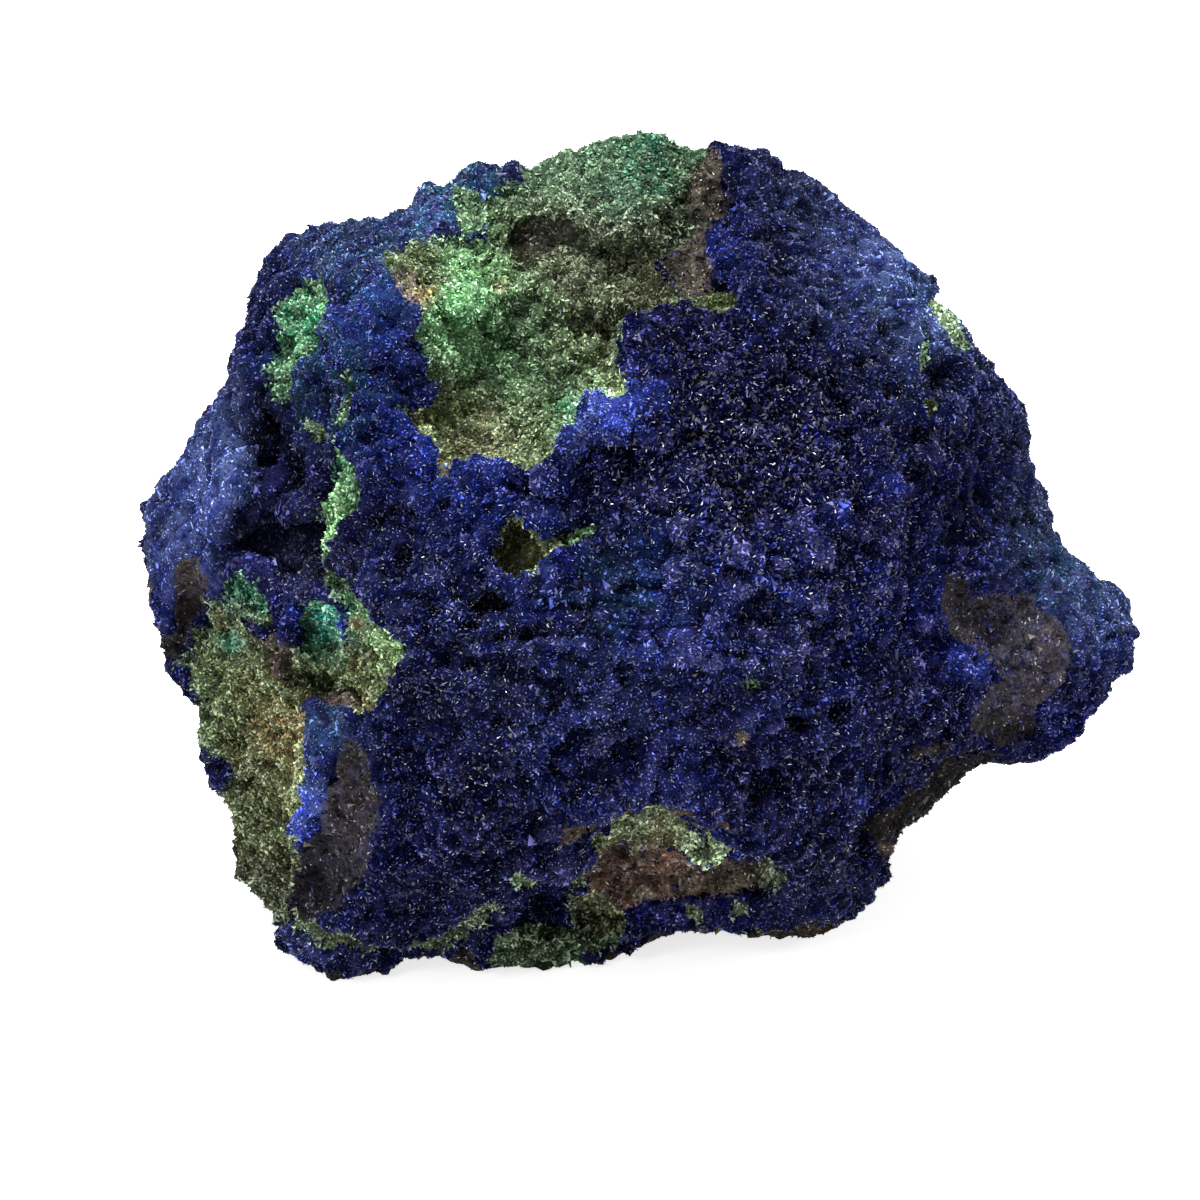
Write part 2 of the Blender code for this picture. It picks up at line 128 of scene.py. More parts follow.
# Outlines are drawn on the main face: u to the right, v up, in millimetres from its middle.
GREEN_ON_FACE = {
    "dome and hollow": [
        (-6.4, 46), (8.8, 46), (9.6, 39.4), (9, 37), (8, 33), (8.1, 31), (6.5, 29.6), (4.6, 28.8),
        (5.4, 27), (8.2, 26.4), (11, 26.2), (11.8, 25.4), (11, 24.4), (8.5, 24.4), (7.8, 25),
        (5.5, 25), (4.5, 24), (2.6, 23), (2.2, 21.5), (1.2, 20), (2, 18.8), (2.6, 17.6), (1.8, 17),
        (0.5, 17.4), (-1, 17), (-2.2, 16.4), (-2.6, 14.5), (-3.2, 13.2), (-4.2, 12.2), (-5, 11.5),
        (-7, 11.8), (-12.5, 11.9), (-13.2, 10.8), (-13.8, 11.3), (-14.2, 13), (-16, 15),
        (-17.5, 16.2), (-15, 16.3), (-14.4, 18.5), (-15, 20.5), (-15.6, 22), (-15.9, 23.3),
        (-15.2, 24.6), (-16, 26), (-17.5, 27.5), (-18.4, 29), (-14, 30.5), (-12, 30.9),
        (-9.5, 30.2), (-9.8, 33), (-8.5, 35), (-6.5, 35.5)],
    "left patch": [
        (-23.5, 27.6), (-25.5, 27.2), (-27, 26), (-27.5, 24.5), (-27.4, 21.5), (-28.3, 20.5),
        (-28.4, 19), (-27.5, 17.3), (-26.6, 16.4), (-26, 17.2), (-26, 19.5), (-25.5, 20.7),
        (-24.3, 21.5), (-23.6, 23), (-23.2, 24.5), (-23.4, 26)],
    "upper left crumbs": [
        (-12.4, 35.4), (-10.8, 35), (-9.4, 33), (-10, 31.2), (-11.4, 31.4), (-12.4, 33)],
    "left speck": [(-25.4, 15.6), (-24.5, 15.1), (-24, 14), (-24.2, 13.2), (-25, 14)],
    "crest vein": [
        (-20.7, 20), (-20.4, 17.5), (-21, 15.5), (-21.5, 14), (-21.3, 12.5), (-20.6, 11),
        (-20.4, 9.4), (-20.7, 8), (-21.6, 6.6), (-22.2, 5), (-22.8, 3.4), (-23.6, 3.6), (-24.2, 6),
        (-23.7, 8.6), (-22.8, 10.6), (-22.3, 12.6), (-22.2, 14), (-21.6, 16), (-21.2, 18)],
    "crest edge": [
        (-22.5, 2), (-21, 1), (-20, 0), (-19.2, -1), (-18.5, -2.5), (-17.5, -3.6), (-16.5, -4.2),
        (-17.5, -5.3), (-18, -7), (-19.5, -9), (-20.5, -9.8), (-21.7, -8.5), (-22.5, -7.8),
        (-22.2, -5), (-21.6, -3.4), (-22, -1.4)],
    "green flank": [
        (-32.8, 0.2), (-31, -0.5), (-30.4, -2), (-29.5, -3.2), (-26, -4.2), (-21.8, -4),
        (-21.5, -6.5), (-24, -8), (-25, -9.5), (-25.2, -12), (-25, -14), (-25.5, -16),
        (-26.1, -18.5), (-25.7, -21.2), (-26, -24), (-27.5, -28), (-34, -24), (-34, -20.5),
        (-34, -15), (-37, -12), (-37, -7), (-34.5, -4), (-34.6, -2.8), (-33.5, -2.3)],
    "turquoise niche": [
        (-25, -0.2), (-22.6, -0.3), (-22, -1.5), (-21.6, -3.5), (-23, -4.5), (-25, -4.3),
        (-25.4, -2)],
    "teal spot": [(-31.8, 1.5), (-30.5, 2), (-28.5, 0), (-27.5, -2), (-29.5, -2), (-31.5, -0.5)],
    "under the crust": [
        (0, -18.5), (2, -17.2), (4.5, -16.4), (6, -16.8), (6.4, -18.5), (7.4, -19.2), (9.4, -18.8),
        (10.6, -20), (10.4, -22), (8.4, -22.4), (6.8, -21), (4, -20.8), (2.5, -21), (0, -22),
        (-1, -21)],
    "green foot": [
        (-9, -28.5), (-6, -27.5), (-3, -27.5), (-1.8, -29), (-1.6, -31.4), (-6, -34), (-9.4, -32)],
    "vein, lower end": [
        (-23.8, 4.6), (-23, 4.4), (-22.6, 2.6), (-21.4, 1.2), (-22.4, 0.9), (-23.4, 2.4)],
    "foot ledge": [
        (-26.4, -25.8), (-24.6, -26.8), (-22.4, -28), (-19.5, -28.9), (-16, -28.9), (-13.6, -28.4),
        (-12, -27.2), (-10.4, -25.8), (-9, -25), (-8.2, -25.6), (-9.8, -27), (-11.4, -28.6),
        (-13.4, -29.6), (-19.5, -30), (-23, -29.2), (-26.2, -27.6)],
    "dark green blocks": [
        (-2.6, -25.4), (-0.4, -24.8), (1.6, -26), (2.2, -27.6), (1.4, -29.4), (-1.2, -29.6),
        (-2.2, -28)],
    "foot fleck": [(7.2, -26), (8.6, -26.2), (9, -27.2), (7.6, -27.2)],
    "small foot fleck": [(11.4, -25.6), (12.8, -25.6), (12.6, -26.6), (11.6, -26.6)],
    "right foot edge": [(13, -28.2), (16.6, -28.4), (16.4, -29.4), (13.4, -29.2)],
    "end of the shelf": [
        (12.6, -22.8), (13.8, -21.2), (15.8, -22), (15.6, -24), (13.6, -24.6), (12.4, -23.8)],
    "lip of the crust": [
        (-7.6, -23.4), (-7, -22.2), (-5.4, -23.2), (-3, -23.8), (-1.6, -22.6), (-1, -23.4),
        (-2.6, -24.8), (-5, -24.4), (-6.6, -23.8)],
    "right shoulder": [
        (27.4, 25.3), (28.6, 26.6), (32, 24), (32, 21), (30.5, 21), (29.4, 22.4), (28.2, 23.6)],
    "shoulder streak": [(26.9, 22.6), (27.8, 22.2), (27.8, 19.8), (27.1, 19.4)],
    "shoulder speck": [(27.3, 16.9), (28.2, 17.2), (28.8, 16.4), (28.2, 15.7), (27.4, 16)],
    "face speck": [(12.7, -7), (13.3, -6.7), (13.8, -7.4), (13.2, -7.9), (12.7, -7.6)],
    "pit": [
        (-8.6, 6), (-7.5, 7.1), (-6.3, 6.6), (-5, 5), (-3, 5.8), (-0.6, 6.4), (-0.7, 5.6),
        (-2.5, 4.9), (-4.4, 3.9), (-5.3, 2.3), (-7, 1.6), (-8.2, 2.2), (-8.8, 4)],
}
PLATES_ON_FACE = {
    "upper plate": [
        (-28.7, 14.4), (-26.8, 13.4), (-26, 11.2), (-26.3, 9.8), (-27.2, 8.9), (-28.9, 8.5),
        (-30, 9), (-30, 10.4), (-28.9, 11.6)],
    "jutting plate": [
        (-26.2, 9.1), (-24.4, 8.9), (-23.8, 8.1), (-24.2, 6.9), (-25.5, 6.5), (-27, 6.5),
        (-27.7, 7.3), (-27.2, 8.5)],
    "right plate": [(-25.2, 14), (-24.2, 13), (-23.2, 10.2), (-23.8, 9.6), (-25.4, 10.4)],
    "lower plate": [
        (-32, 3.4), (-30, 3.2), (-28.2, 3.2), (-27.2, 1.4), (-26.6, -0.4), (-28, -1), (-29.6, 1),
        (-31.4, 2)],
}
BLUE_IN_GREEN = {
    "rim sliver": [(-31.6, -13.6), (-31.2, -15), (-32.2, -17.2), (-36, -18), (-36, -12.4)],
    "upper rim sliver": [(-36.6, -5.2), (-34.8, -6), (-34.2, -8.8), (-34.6, -10), (-38, -9)],
    "left prong": [(-25.7, 0.5), (-25, -0.6), (-25.2, -3.4), (-25.8, -3.6), (-26.4, -1)],
    "right prong": [(-22, 0.4), (-21.4, -0.6), (-21.2, -3.4), (-21.8, -3.6), (-22.2, -1.4)],
}
BLACK_ON_FACE = {
    "left hollow patch": [
        (-22, -12), (-20.4, -11.8), (-19.4, -14), (-18.7, -17), (-19, -20.6), (-19.4, -22.6),
        (-20.8, -24), (-22.6, -26.4), (-24.8, -27.2), (-26.6, -26.2), (-26.2, -23.6),
        (-25.6, -21.4), (-24, -19.8), (-23.2, -17.6), (-22.4, -14.6)],
    "lobe patch": [
        (29.5, 2), (31, 1.8), (31.5, -0.3), (33, 0.5), (36.5, 1), (37, -0.5), (38.5, -1.5),
        (40, -3), (40, -5.5), (39, -7.5), (37, -9), (37, -11), (34, -12.5), (31, -10.5),
        (32.5, -8.5), (34.3, -6.8), (33.5, -5), (31, -3.5), (29, -1.5), (28.8, 0.5)],
    "lower right underside": [
        (34, -13), (30, -12.8), (27, -15), (24, -18), (22, -19.5), (24, -20.5), (27, -21),
        (31, -17.4), (33, -14.6)],
    "left slot": [
        (-35.8, 3.5), (-34, 3.5), (-33.3, 2), (-32.8, 0.5), (-34, -1.5), (-34.8, -2.5), (-35.5, -5),
        (-38, -4.5), (-36, -2), (-36.2, 0.5)],
}
BROWN_ON_FACE = {
    "under the dome": [
        (-6.6, 31.4), (-5.4, 32.4), (-3.5, 32.2), (-2.2, 31.6), (-2.8, 30.5), (-4.4, 29.7),
        (-6, 29.6)],
    "flank nodule": [
        (-29, -3.4), (-27.2, -2.8), (-26, -4.4), (-26, -6.6), (-27.6, -7), (-28.6, -5.6)],
    "strip beside the dome": [
        (8, 37.4), (9.2, 38.1), (10.6, 37.2), (11, 35.4), (10.8, 33.8), (9.8, 32.2), (9.4, 29.6),
        (9.7, 27.4), (8.2, 25.9), (6.6, 26.4), (5.4, 28.8), (6.8, 29.8), (8.2, 31.2), (7.7, 34)],
    "shelf under the crust": [
        (-0.8, -22.4), (1, -21.4), (2.6, -20.8), (4.2, -20.7), (6.6, -21.4), (8.4, -22.6),
        (10.6, -22), (13, -21.6), (14, -23), (13, -24.6), (8, -25), (5, -25.6), (1, -26),
        (-1, -24.8)],
    "planks above the black patch": [
        (-20.4, -7.4), (-22.6, -7.4), (-24.2, -8.2), (-22.4, -8.9), (-20.4, -8.8)],
    "left of the hollow": [(-17.6, 28.6), (-15.8, 28.8), (-15, 26.6), (-16, 25), (-17.2, 26.6)],
}

# The same for the back, whose outlines are also drawn as seen from the face.
GREEN_ON_BACK = {
    "back pocket": [
        (-14, 20.6), (-8.4, 25), (-1, 23), (3.4, 26), (10, 21.6), (8, 16), (11, 11), (13.6, 5),
        (9, 3.6), (5, 7.6), (-1, 10.6), (-7.6, 9), (-10, 14.6)],
    "band along the break": [
        (-40, 7.4), (-27, 5.6), (-20, -0.6), (-13, -2), (-8, 3), (-1, 0), (4.6, -4), (12, -3.4),
        (18, -7.4), (28, -6), (36, -13), (34, -16), (27, -10), (18.6, -11), (12, -7), (4, -8),
        (-2, -3.6), (-8, -1), (-13, -5.6), (-21, -4), (-27, 2), (-40, 3.6)],
    "left hollow": [(-32, 20), (-25, 24), (-20, 17.6), (-25, 11.4), (-32, 12.4)],
    "low spot": [(-6, -14), (2, -12), (7, -17), (0, -21), (-7, -19)],
}
BLACK_ON_BACK = {
    "side hollow": [(25, 13.4), (30.6, 12.4), (32.4, 6), (28, 2.6), (23.6, 6)],
    "pocket floor": [(-4, 18.6), (0, 19), (4, 20), (5, 17.6), (2.6, 14.6), (-2, 16), (-5, 15)],
    "break, right": [(6, -9), (13, -9), (20, -12.6), (26, -12), (31, -17), (24, -30), (4, -30)],
}
BROWN_ON_BACK = {
    "break, left": [
        (-42, 2.6), (-27, 0.6), (-21, -5), (-13, -6.6), (-8, -2.4), (-2, -5), (3.6, -9.4), (8, -10),
        (4, -22), (6, -34), (-42, -34)],
    "break, far right": [(24, -14), (34, -15), (40, -24), (20, -34), (20, -22)],
}

# Soft tints, each spot's middle (u, v), its reach and its strength. First, those of the blue.
ROYAL = [
    (-1, 14.6, 3.4, 1), (3.6, 17.4, 2.6, 0.9), (-9, 10.6, 4, 0.7), (-14, 9.6, 3, 0.8),
    (26, 25.6, 2.4, 0.7), (26.8, 20, 1.6, 0.6), (-17.4, 25, 3.2, 0.5), (-20, 24, 5, 0.6),
    (-25, 29, 4, 0.5), (-33, 8, 6, 0.3), (-18, 19, 3.4, 0.45), (-17, 14, 3, 0.6),
    (-15.5, 12.4, 2, 0.8), (-19.4, 14, 2, 0.5), (25, 10, 1.4, 0.3), (20.5, 7.5, 1.2, 0.3),
    (32, -6, 1.6, 0.4), (30.4, -5, 2.2, 0.4), (22, -16.5, 2, 0.8), (-24.6, -17.6, 2.4, 1),
    (-25.6, -1, 1.2, 1), (-21.6, -1.4, 1.2, 1), (9.6, 30.6, 2.6, 0.75), (10.6, 34, 2, 0.6),
    (8, 9, 1.6, 0.7), (4, 2, 1.6, 0.6), (16, 1.4, 2.6, 0.5), (6.8, -2.6, 2.2, 0.5), (24, 3, 2, 0.6),
    (-13, 5, 2.6, 0.5), (20, -8, 2.4, 0.5), (12, 15, 2, 0.4), (-23, -10.6, 1.6, 0.6),
    (27.6, -0.6, 1.6, 0.7),
]
WEATHERED = [
    (-24.8, -17.6, 2, 0.9), (2, -9, 6, 0.2), (12, -2, 8, 0.12), (1.4, 15.2, 2.4, 0.4),
    (-24.6, -16.6, 1.6, 0.5), (-22, -30, 4, 0.3), (24, 29, 7.5, 0.9), (29, 23, 5, 0.8),
    (17, 35, 4, 0.6), (41, 1.6, 4.5, 0.9), (37, 6, 3.6, 0.5), (-13, 34, 4, 0.9), (-21, 30, 5, 0.7),
    (-33, 11, 6.5, 0.75), (-30, 14, 4, 0.7), (-37, 4, 4, 0.7), (44, -2, 4, 0.6),
    (-22.6, -10.8, 2.2, 1), (-25, 30, 3.4, 0.6), (-17, 4, 5, 0.2), (-10, -8, 7, 0.2),
    (20, -26, 5, 0.35), (-24.6, -13, 2.4, 0.9), (-1, 14.6, 2.4, 0.5), (35.4, 15, 1.8, 0.8),
    (36.8, 11, 1.6, 0.7), (38, 7.4, 2.4, 0.6),
]
TEAL = [
    (-14, 34, 4.5, 0.9), (-9, 34.4, 3, 0.9), (-20, 28, 5, 0.6), (41, 2, 3.6, 0.4), (38, 5, 3, 0.4),
    (27, 26, 4, 0.35), (-23, 19, 4, 0.6), (-21.6, 16, 2.6, 0.6), (-2, 1, 6, 0.15),
    (3, 1.5, 4.5, 0.2), (-22.6, -10.2, 2, 0.7), (-28, 12, 3, 0.3),
]
DEEP_BLUE = [
    (1.5, 12, 3.2, 1), (12, 13, 7.5, 1), (-28.4, 14, 1.4, 1), (-1, 10.6, 2.4, 0.7), (8, -8, 4, 0.5),
    (32, 13, 4, 0.8), (28.8, 19.6, 1.8, 1), (21, 2, 3, 0.5), (-15, 4, 2.4, 0.5), (-27, 8.6, 3, 0.8),
    (-28, 13, 1.6, 1), (-25.4, 15, 3, 0.7), (-24.6, 10, 2.4, 0.8), (-18, -26, 4, 0.6),
    (15.6, 30, 2, 0.8), (38, -6, 4, 0.5), (-22.6, 26, 1.2, 0.9), (27, 6, 3, 0.4), (14, -22, 5, 0.4),
    (2, -10, 5, 0.3), (-13.6, -9, 4, 0.4),
]
INKY = [
    (-27.4, 4.6, 3, 1), (-24.6, 3.6, 2.4, 1), (-28.4, 14, 1.8, 0.8), (-28, 11, 1.4, 0.6),
    (-30, 5.6, 1.6, 0.6), (-28.6, 17, 1.4, 0.6),
]
COBALT = [
    (-24.9, -17.4, 1.7, 0.5), (-25.6, -20.2, 1.3, 0.8), (-24.2, -14.4, 1.3, 0.1),
    (25, 10, 0.9, 0.9), (20.5, 7.5, 0.7, 1), (32, -6.2, 0.5, 0.9), (22, -16.5, 0.5, 0.9),
    (-25.4, -1.6, 0.8, 0.8), (-21.6, -2, 0.8, 0.8), (29.6, -4.4, 1, 0.5), (1.6, 15.6, 1.2, 0.5),
    (-15, 11.6, 1, 0.5), (9.4, 30, 1.4, 0.4),
]
GLITTER = [
    (11, 12, 8, 1), (14, 17, 6, 0.8), (2, 8, 5, 0.6), (20, 2, 6, 0.5), (8, -6, 8, 0.5),
    (-12, -14, 7, 0.5), (-8, -2, 6, 0.4), (20, -14, 6, 0.4), (-26, 4, 3.6, 1), (28, 14, 5, 0.3),
    (-14, 2, 4, 0.3),
]
SMOOTH = [
    (-33, 10, 6.5, 1), (-35, 3, 4, 1), (-28, 17, 4, 0.7), (24, 29, 6, 0.6), (41, 0, 5, 0.8),
    (34, 8, 5, 0.4), (-22.6, -10.6, 3, 0.8), (2, 1, 6, 0.4),
]

# Tints of the malachite and the matrix.
OLIVE = [
    (-9, 13.5, 5.5, 1), (-14, 14.5, 3.5, 0.9), (-16, 28, 3, 0.9), (-28, -12, 8, 0.85),
    (-31, -4, 4, 0.9), (-20, -6, 4.5, 0.7), (-29, -20, 7, 0.75), (-7, 4, 4, 1), (6, -19, 6, 0.75),
    (10.5, 25.4, 3, 1), (2, 18, 3, 0.6), (12, -25.5, 4, 0.9), (28, 16.4, 2, 1), (-6, 30, 3.5, 0.6),
    (4, 27, 4, 0.7), (-1, 23.4, 3.4, 0.8), (-20, -29, 6, 0.7), (-24, -1, 2, 0.4),
]
EMERALD = [
    (-25.2, 24, 3, 1), (-12, 25, 4, 0.45), (4, 38.6, 4.5, 0.7), (5, 39, 1.6, 1), (2, 34, 2.6, 0.85),
    (-23.4, -2, 2.4, 1), (-22, 11, 2.4, 0.6), (-30, 0, 2.4, 1), (-3, 16.6, 1.2, 1),
    (-31.6, -3.2, 1.4, 1), (-21.8, 13.6, 1.2, 0.9), (-28, 19, 3, 0.4), (-3, 36, 4, 0.35),
    (5, 34, 3, 0.3), (-9, 20, 3, 0.3), (0, 36, 5, 0.2),
]
BRIGHT = [
    (-12, 25.5, 3.6, 1), (-10.6, 21.6, 3, 0.7), (-9, 29, 2.4, 0.5), (-7, 18.6, 3, 0.5),
    (-24.4, 24, 1.6, 0.5), (-23.4, 8.4, 1.6, 0.9), (-22.2, 5.4, 1.6, 1), (-20.6, 12, 1.6, 0.8),
    (-19.6, -1, 2.2, 0.9), (-18.2, -4, 2, 0.9), (-20, -7, 2, 0.5), (-23.6, -2, 1.8, 1),
    (28.6, 24, 2.4, 0.4), (-5.4, 15, 2.6, 0.5), (8.7, -20.7, 2, 0.8), (10.4, 25.2, 2, 0.6),
    (-2.4, 5.2, 1.6, 0.3),
]
TURQUOISE = [
    (-23.2, -2, 2, 1), (-30.2, 0.4, 2.2, 0.6), (5, 39, 1.4, 0.3), (-5.2, 31.6, 0.6, 0.8),
    (-31.6, -3.4, 1, 0.8), (2.2, 34.4, 1.4, 0.5), (-25, -19.6, 1.2, 0.5),
]
RUST = [
    (-15, 26, 1.1, 1), (-23.3, -14, 0.9, 1), (-13.4, 11.6, 0.7, 0.9), (-31, -2, 1.6, 0.6),
    (-20.6, -8.6, 1.4, 0.7), (-20.9, -2.2, 0.7, 0.9), (-27, -11, 3.2, 0.6), (-21, -5, 1.2, 0.5),
    (3, -23.5, 5, 0.6), (-10, 14, 2, 0.2), (-28.6, 3.6, 0.8, 0.6), (9.4, 35.6, 1.4, 0.25),
]
ASHEN = [
    (29.6, 24, 3, 0.8), (-2, 36, 6, 0.4), (-16, -29, 5, 0.6), (-10, -26, 3, 0.8),
    (-24, -27.6, 3, 0.6), (-4, -23.6, 3, 0.8), (3, -19, 4, 0.55), (8.6, -20.6, 2.4, 0.8),
    (14.4, -23, 2.4, 0.9), (12, -27, 4, 0.7), (-20, -3, 2, 0.4), (0, 33, 4, 0.3), (-16, 33, 3, 0.4),
    (-9.6, 13.4, 4.4, 0.5), (-7, 20, 5, 0.2), (-24.6, 14.4, 1.6, 0.5),
]
# Dusky olive-brown, partly the stone's own tone and partly painted shade under ledges and in
# recesses.
DUSKY_TONE_AND_SHADE = [
    (9.4, 34, 3, 0.8), (0, 28.6, 3.6, 0.75), (4.6, 29, 3.4, 0.8), (-3.4, 29.4, 2.6, 0.7),
    (3, 26, 3.4, 0.8), (-1.4, 26, 3, 0.4), (-13.6, 27.4, 1.2, 0.9), (-15, 19, 1.4, 0.5),
    (-4.4, 31, 3, 0.5), (5.6, 33, 2, 0.5), (-30.6, -21, 3.4, 0.6), (-28.6, -25, 3, 0.7),
    (-31, -10, 3, 0.3), (-29, -15, 3, 0.4), (6.6, 38, 2, 0.4), (-6, 16, 1.4, 0.4),
    (-1, 23.2, 2.4, 0.3), (-13.6, 17.4, 1.6, 0.5), (-6, 33, 2.6, 0.4), (3, 30.6, 3, 0.7),
    (-1, 30, 2.4, 0.7), (6, 28.4, 2.4, 0.6), (-15, 29.6, 1.6, 0.6), (-29, -2.6, 2, 0.8),
    (-33, -1, 1.6, 0.7), (-30.6, -16, 2, 0.4), (-27, -24, 3, 0.6), (-5.6, -30.6, 3.4, 0.5),
    (-1, -27.6, 2, 0.9), (-7, 4, 2.4, 0.9), (-9.4, 17, 1.2, 0.5), (3, -20, 3, 0.2),
    (-18.6, -4.8, 1, 0.5),
]
BLUISH = [(35, -5, 8, 0.3), (-25, -23, 6, 0.35)]
SOFT_BORDER = [(34.5, -5, 7, 1)]

# Pale crumbs, open places where little painted shade gathers, and painted light and shade,
# places made lighter or darker in stops, partly for the stone's own tone.
CREAM = [
    (-8.5, 27, 0.45, 1), (12.1, -11.5, 0.3, 1), (24.3, -21, 0.5, 0.9), (27.7, 16.4, 0.4, 0.6),
    (-5.8, -23.6, 0.4, 0.7), (-15.4, 25.4, 0.4, 0.6),
]
OPEN = [
    (-6.6, 4.4, 2.6, 1), (-27, 4.4, 3.6, 0.9), (-23.6, -2, 2.4, 0.8), (-35, 0, 3, 0.5),
    (-12.4, 18, 4, 0.9), (-1, 24, 4, 1), (-6, 23, 3, 0.7), (-11, 13.4, 4, 0.7), (-4, 31, 3, 0.8),
    (3, 29.6, 3, 0.6), (34, -5, 6, 0.6), (-22, -20, 4, 0.6),
]
LIT = [
    (8.7, -20.7, 0.65, -2.2), (2.5, -9.5, 6, 0.8), (32, 14.6, 4, 0.45), (-33, 10, 5, 0.85),
    (-14.6, 32, 3, 0.65), (1, 15, 3, 1.05), (-27, 4.6, 2.4, 1), (41, -1, 6, 0.25), (24, 29, 6, 0.8),
    (-25, -18, 2, 0.4), (-12, 0, 6, 0.2), (-24.6, -17, 2, 0.2), (-1, 6, 5, 0.15), (43, -5, 4, 0.3),
    (28.6, 23, 2, 0.3), (2.5, -9.5, 7, 0.5), (40, 0, 6, 0.4), (27.5, -17, 4, 0.6),
    (-27, 4.4, 2.6, 0.5), (34.6, -7, 3, -0.3), (30.6, 0.6, 1.6, -0.4), (-26, 4.4, 2.6, 0.5),
    (-1, 10.6, 3, 0.3), (-9, 10.4, 4, 0.2), (-19, 23, 5, 0.3), (-33, 9, 6, 0.2),
    (-24.6, -14, 2.6, 0.5), (7, -4, 7, 0.35), (2, -1, 5, 0.2), (-24, 4.6, 2.4, 0.5),
    (-28, 3, 2, 0.4), (12, 13, 7, -0.25), (28, -2, 3, 0.2), (-23, -12, 2.6, 0.5), (4, 38, 5, -0.1),
    (-20, -2.6, 2.4, 0.3), (33, 14, 4, 0.3), (28.6, 22.6, 2, 0.6), (-18, -27, 6, -0.2),
    (-12, 22, 4, -0.15), (6, -12, 6, -0.1), (-25, 14.4, 1, 0.8), (8, 3, 5, 0.2),
    (-27, -12, 7, -0.15), (10.6, 35.6, 1.4, -0.8), (9.4, 31, 1.4, -0.8), (7, 28, 3.2, -0.5),
    (5, 37.8, 1.7, -1.1), (2.2, 34.6, 1.3, -0.6), (-11, 13.4, 4.6, 0.55), (-6, 21, 5, -0.15),
    (4, -19, 3.4, -0.5), (-6.6, 4.2, 2.4, 1.9), (-24, -13, 3, 0.3), (27.4, 21, 1.6, 0.7),
    (-26, 4, 3, 0.5), (1, 15, 3.6, 1.3), (-27, 12, 3, -0.4), (-28, 18, 2.5, -0.4),
    (-30.2, 0.4, 2, -1), (34.9, 0, 1.8, 0.8), (34.6, -10.4, 2, 0.6), (14, 8, 9, 0.2),
    (28, -17, 5, -0.8), (23, -20, 5, -0.8), (14, -27, 5, -0.5), (-5.6, -30.6, 4, -0.8),
    (-25.4, 5, 1.9, -0.9), (-27, 7.6, 1.3, -0.8), (-24.6, 3, 1.3, -0.8), (29, 19.4, 1.4, -1.3),
    (14, 4, 12, 0.3), (-33, 8, 6, 0.35), (-24.5, -16, 3, 0.5), (31, -5.6, 1.6, -0.4),
    (-12, -8, 12, -0.15), (-25.5, 22, 4.6, 0.7), (-22.4, 8, 2, 0.5), (-24.6, 14.4, 1.4, 1),
    (-10, 18.6, 3, 0.5), (-19, 25, 3.4, 0.35), (-14, 12.8, 3, 0.3), (-28, 14, 1.6, -0.8),
    (-34, -14, 2, -0.3), (-20, 8, 2.2, -0.3), (33, 14, 5, -0.3), (-23, 18, 2.4, -0.3),
    (-12, 25.5, 4, 1), (-13, 33, 4.5, 0.8), (25, 28, 5, 0.5), (29.6, 23.4, 2.4, 0.5),
    (6, -23.6, 5, 1.3), (12, -23.4, 3, 0.6), (34, -5, 6, 0.9), (-22, -20, 4, 0.6),
    (-23.5, -2, 2.5, 0.6), (-19.4, -4, 3, 0.7), (-28.6, 4, 2.2, 1.4), (-35, 0.6, 2.4, 1.2),
    (-4, 31, 3, 0.8), (3, 29.4, 3, 0.4), (-1.6, 23.8, 3, 0.8), (-13.4, 16, 3, 0.5),
    (-22, -31, 4, 0.4), (1, 35, 6, 0.18), (-19.4, -4.4, 2.4, 0.2), (-29, -8, 4, 0.15),
    (7.4, 29, 2.6, 0.25), (42, -3, 5, 0.25), (-24.8, -17.6, 2, 0.4), (-36, 3.6, 4, 0.25),
    (-35, 8, 8, 0.2), (-31, 19, 4, 0.3), (33, 12, 5, 0.2), (2, 0, 12, 0.15), (14, -18, 6, 0.1),
    (38, -7, 5, 0.2), (-30.4, 5.8, 1.5, -0.8), (-24, 7.6, 1.2, -0.6), (-28.6, 14.6, 2, -0.5),
]

# Single forms of the face: a ring of crust, velvety knobs (u, v, reach), ridges and grooves
# (path, width, height), swellings and dips (u, v, reach, height) and hollows (outline, depth,
# how wide their edge is).
RING_MIDDLE = (8.7, -20.7)
RING_RADIUS, RING_WIDTH, RING_HEIGHT = 1.3, 0.5, 1.5
RING_HOLE, RING_DEPTH = 0.7, 1.6
KNOBS = [
    (27, 11.6, 0.7), (8, 10.6, 0.8), (3.4, 9.4, 0.7), (15.4, 3, 0.8), (18, 0, 0.8),
    (22.6, 5.6, 0.6), (9.4, -5.6, 0.8), (27.6, -2, 0.7), (13.6, -3, 0.6), (17, 7, 0.6),
    (5.2, 8.7, 1.2), (9.7, 8.8, 0.9), (6.8, 6.4, 1), (6.1, 2.2, 0.9), (11.6, 4.5, 0.9),
    (11.8, 1, 0.9), (13.6, 14, 0.8), (17.2, -4.2, 1), (18.6, 3.6, 0.9), (20.4, 8, 1),
    (25.6, 9.8, 1.2), (24.6, 5, 0.9), (24.2, 1, 0.9), (26.6, -5.6, 0.9), (31, -5.6, 0.8),
    (21.3, -16.2, 1), (7.2, -3.9, 1.7), (-3.6, -22, 1.1), (-5, 10, 0.9), (-16, 9, 1),
    (15, -11, 0.8), (28, 12.6, 0.9), (10, 19.6, 1), (-11, 4.6, 0.8), (12, -17, 0.8),
]
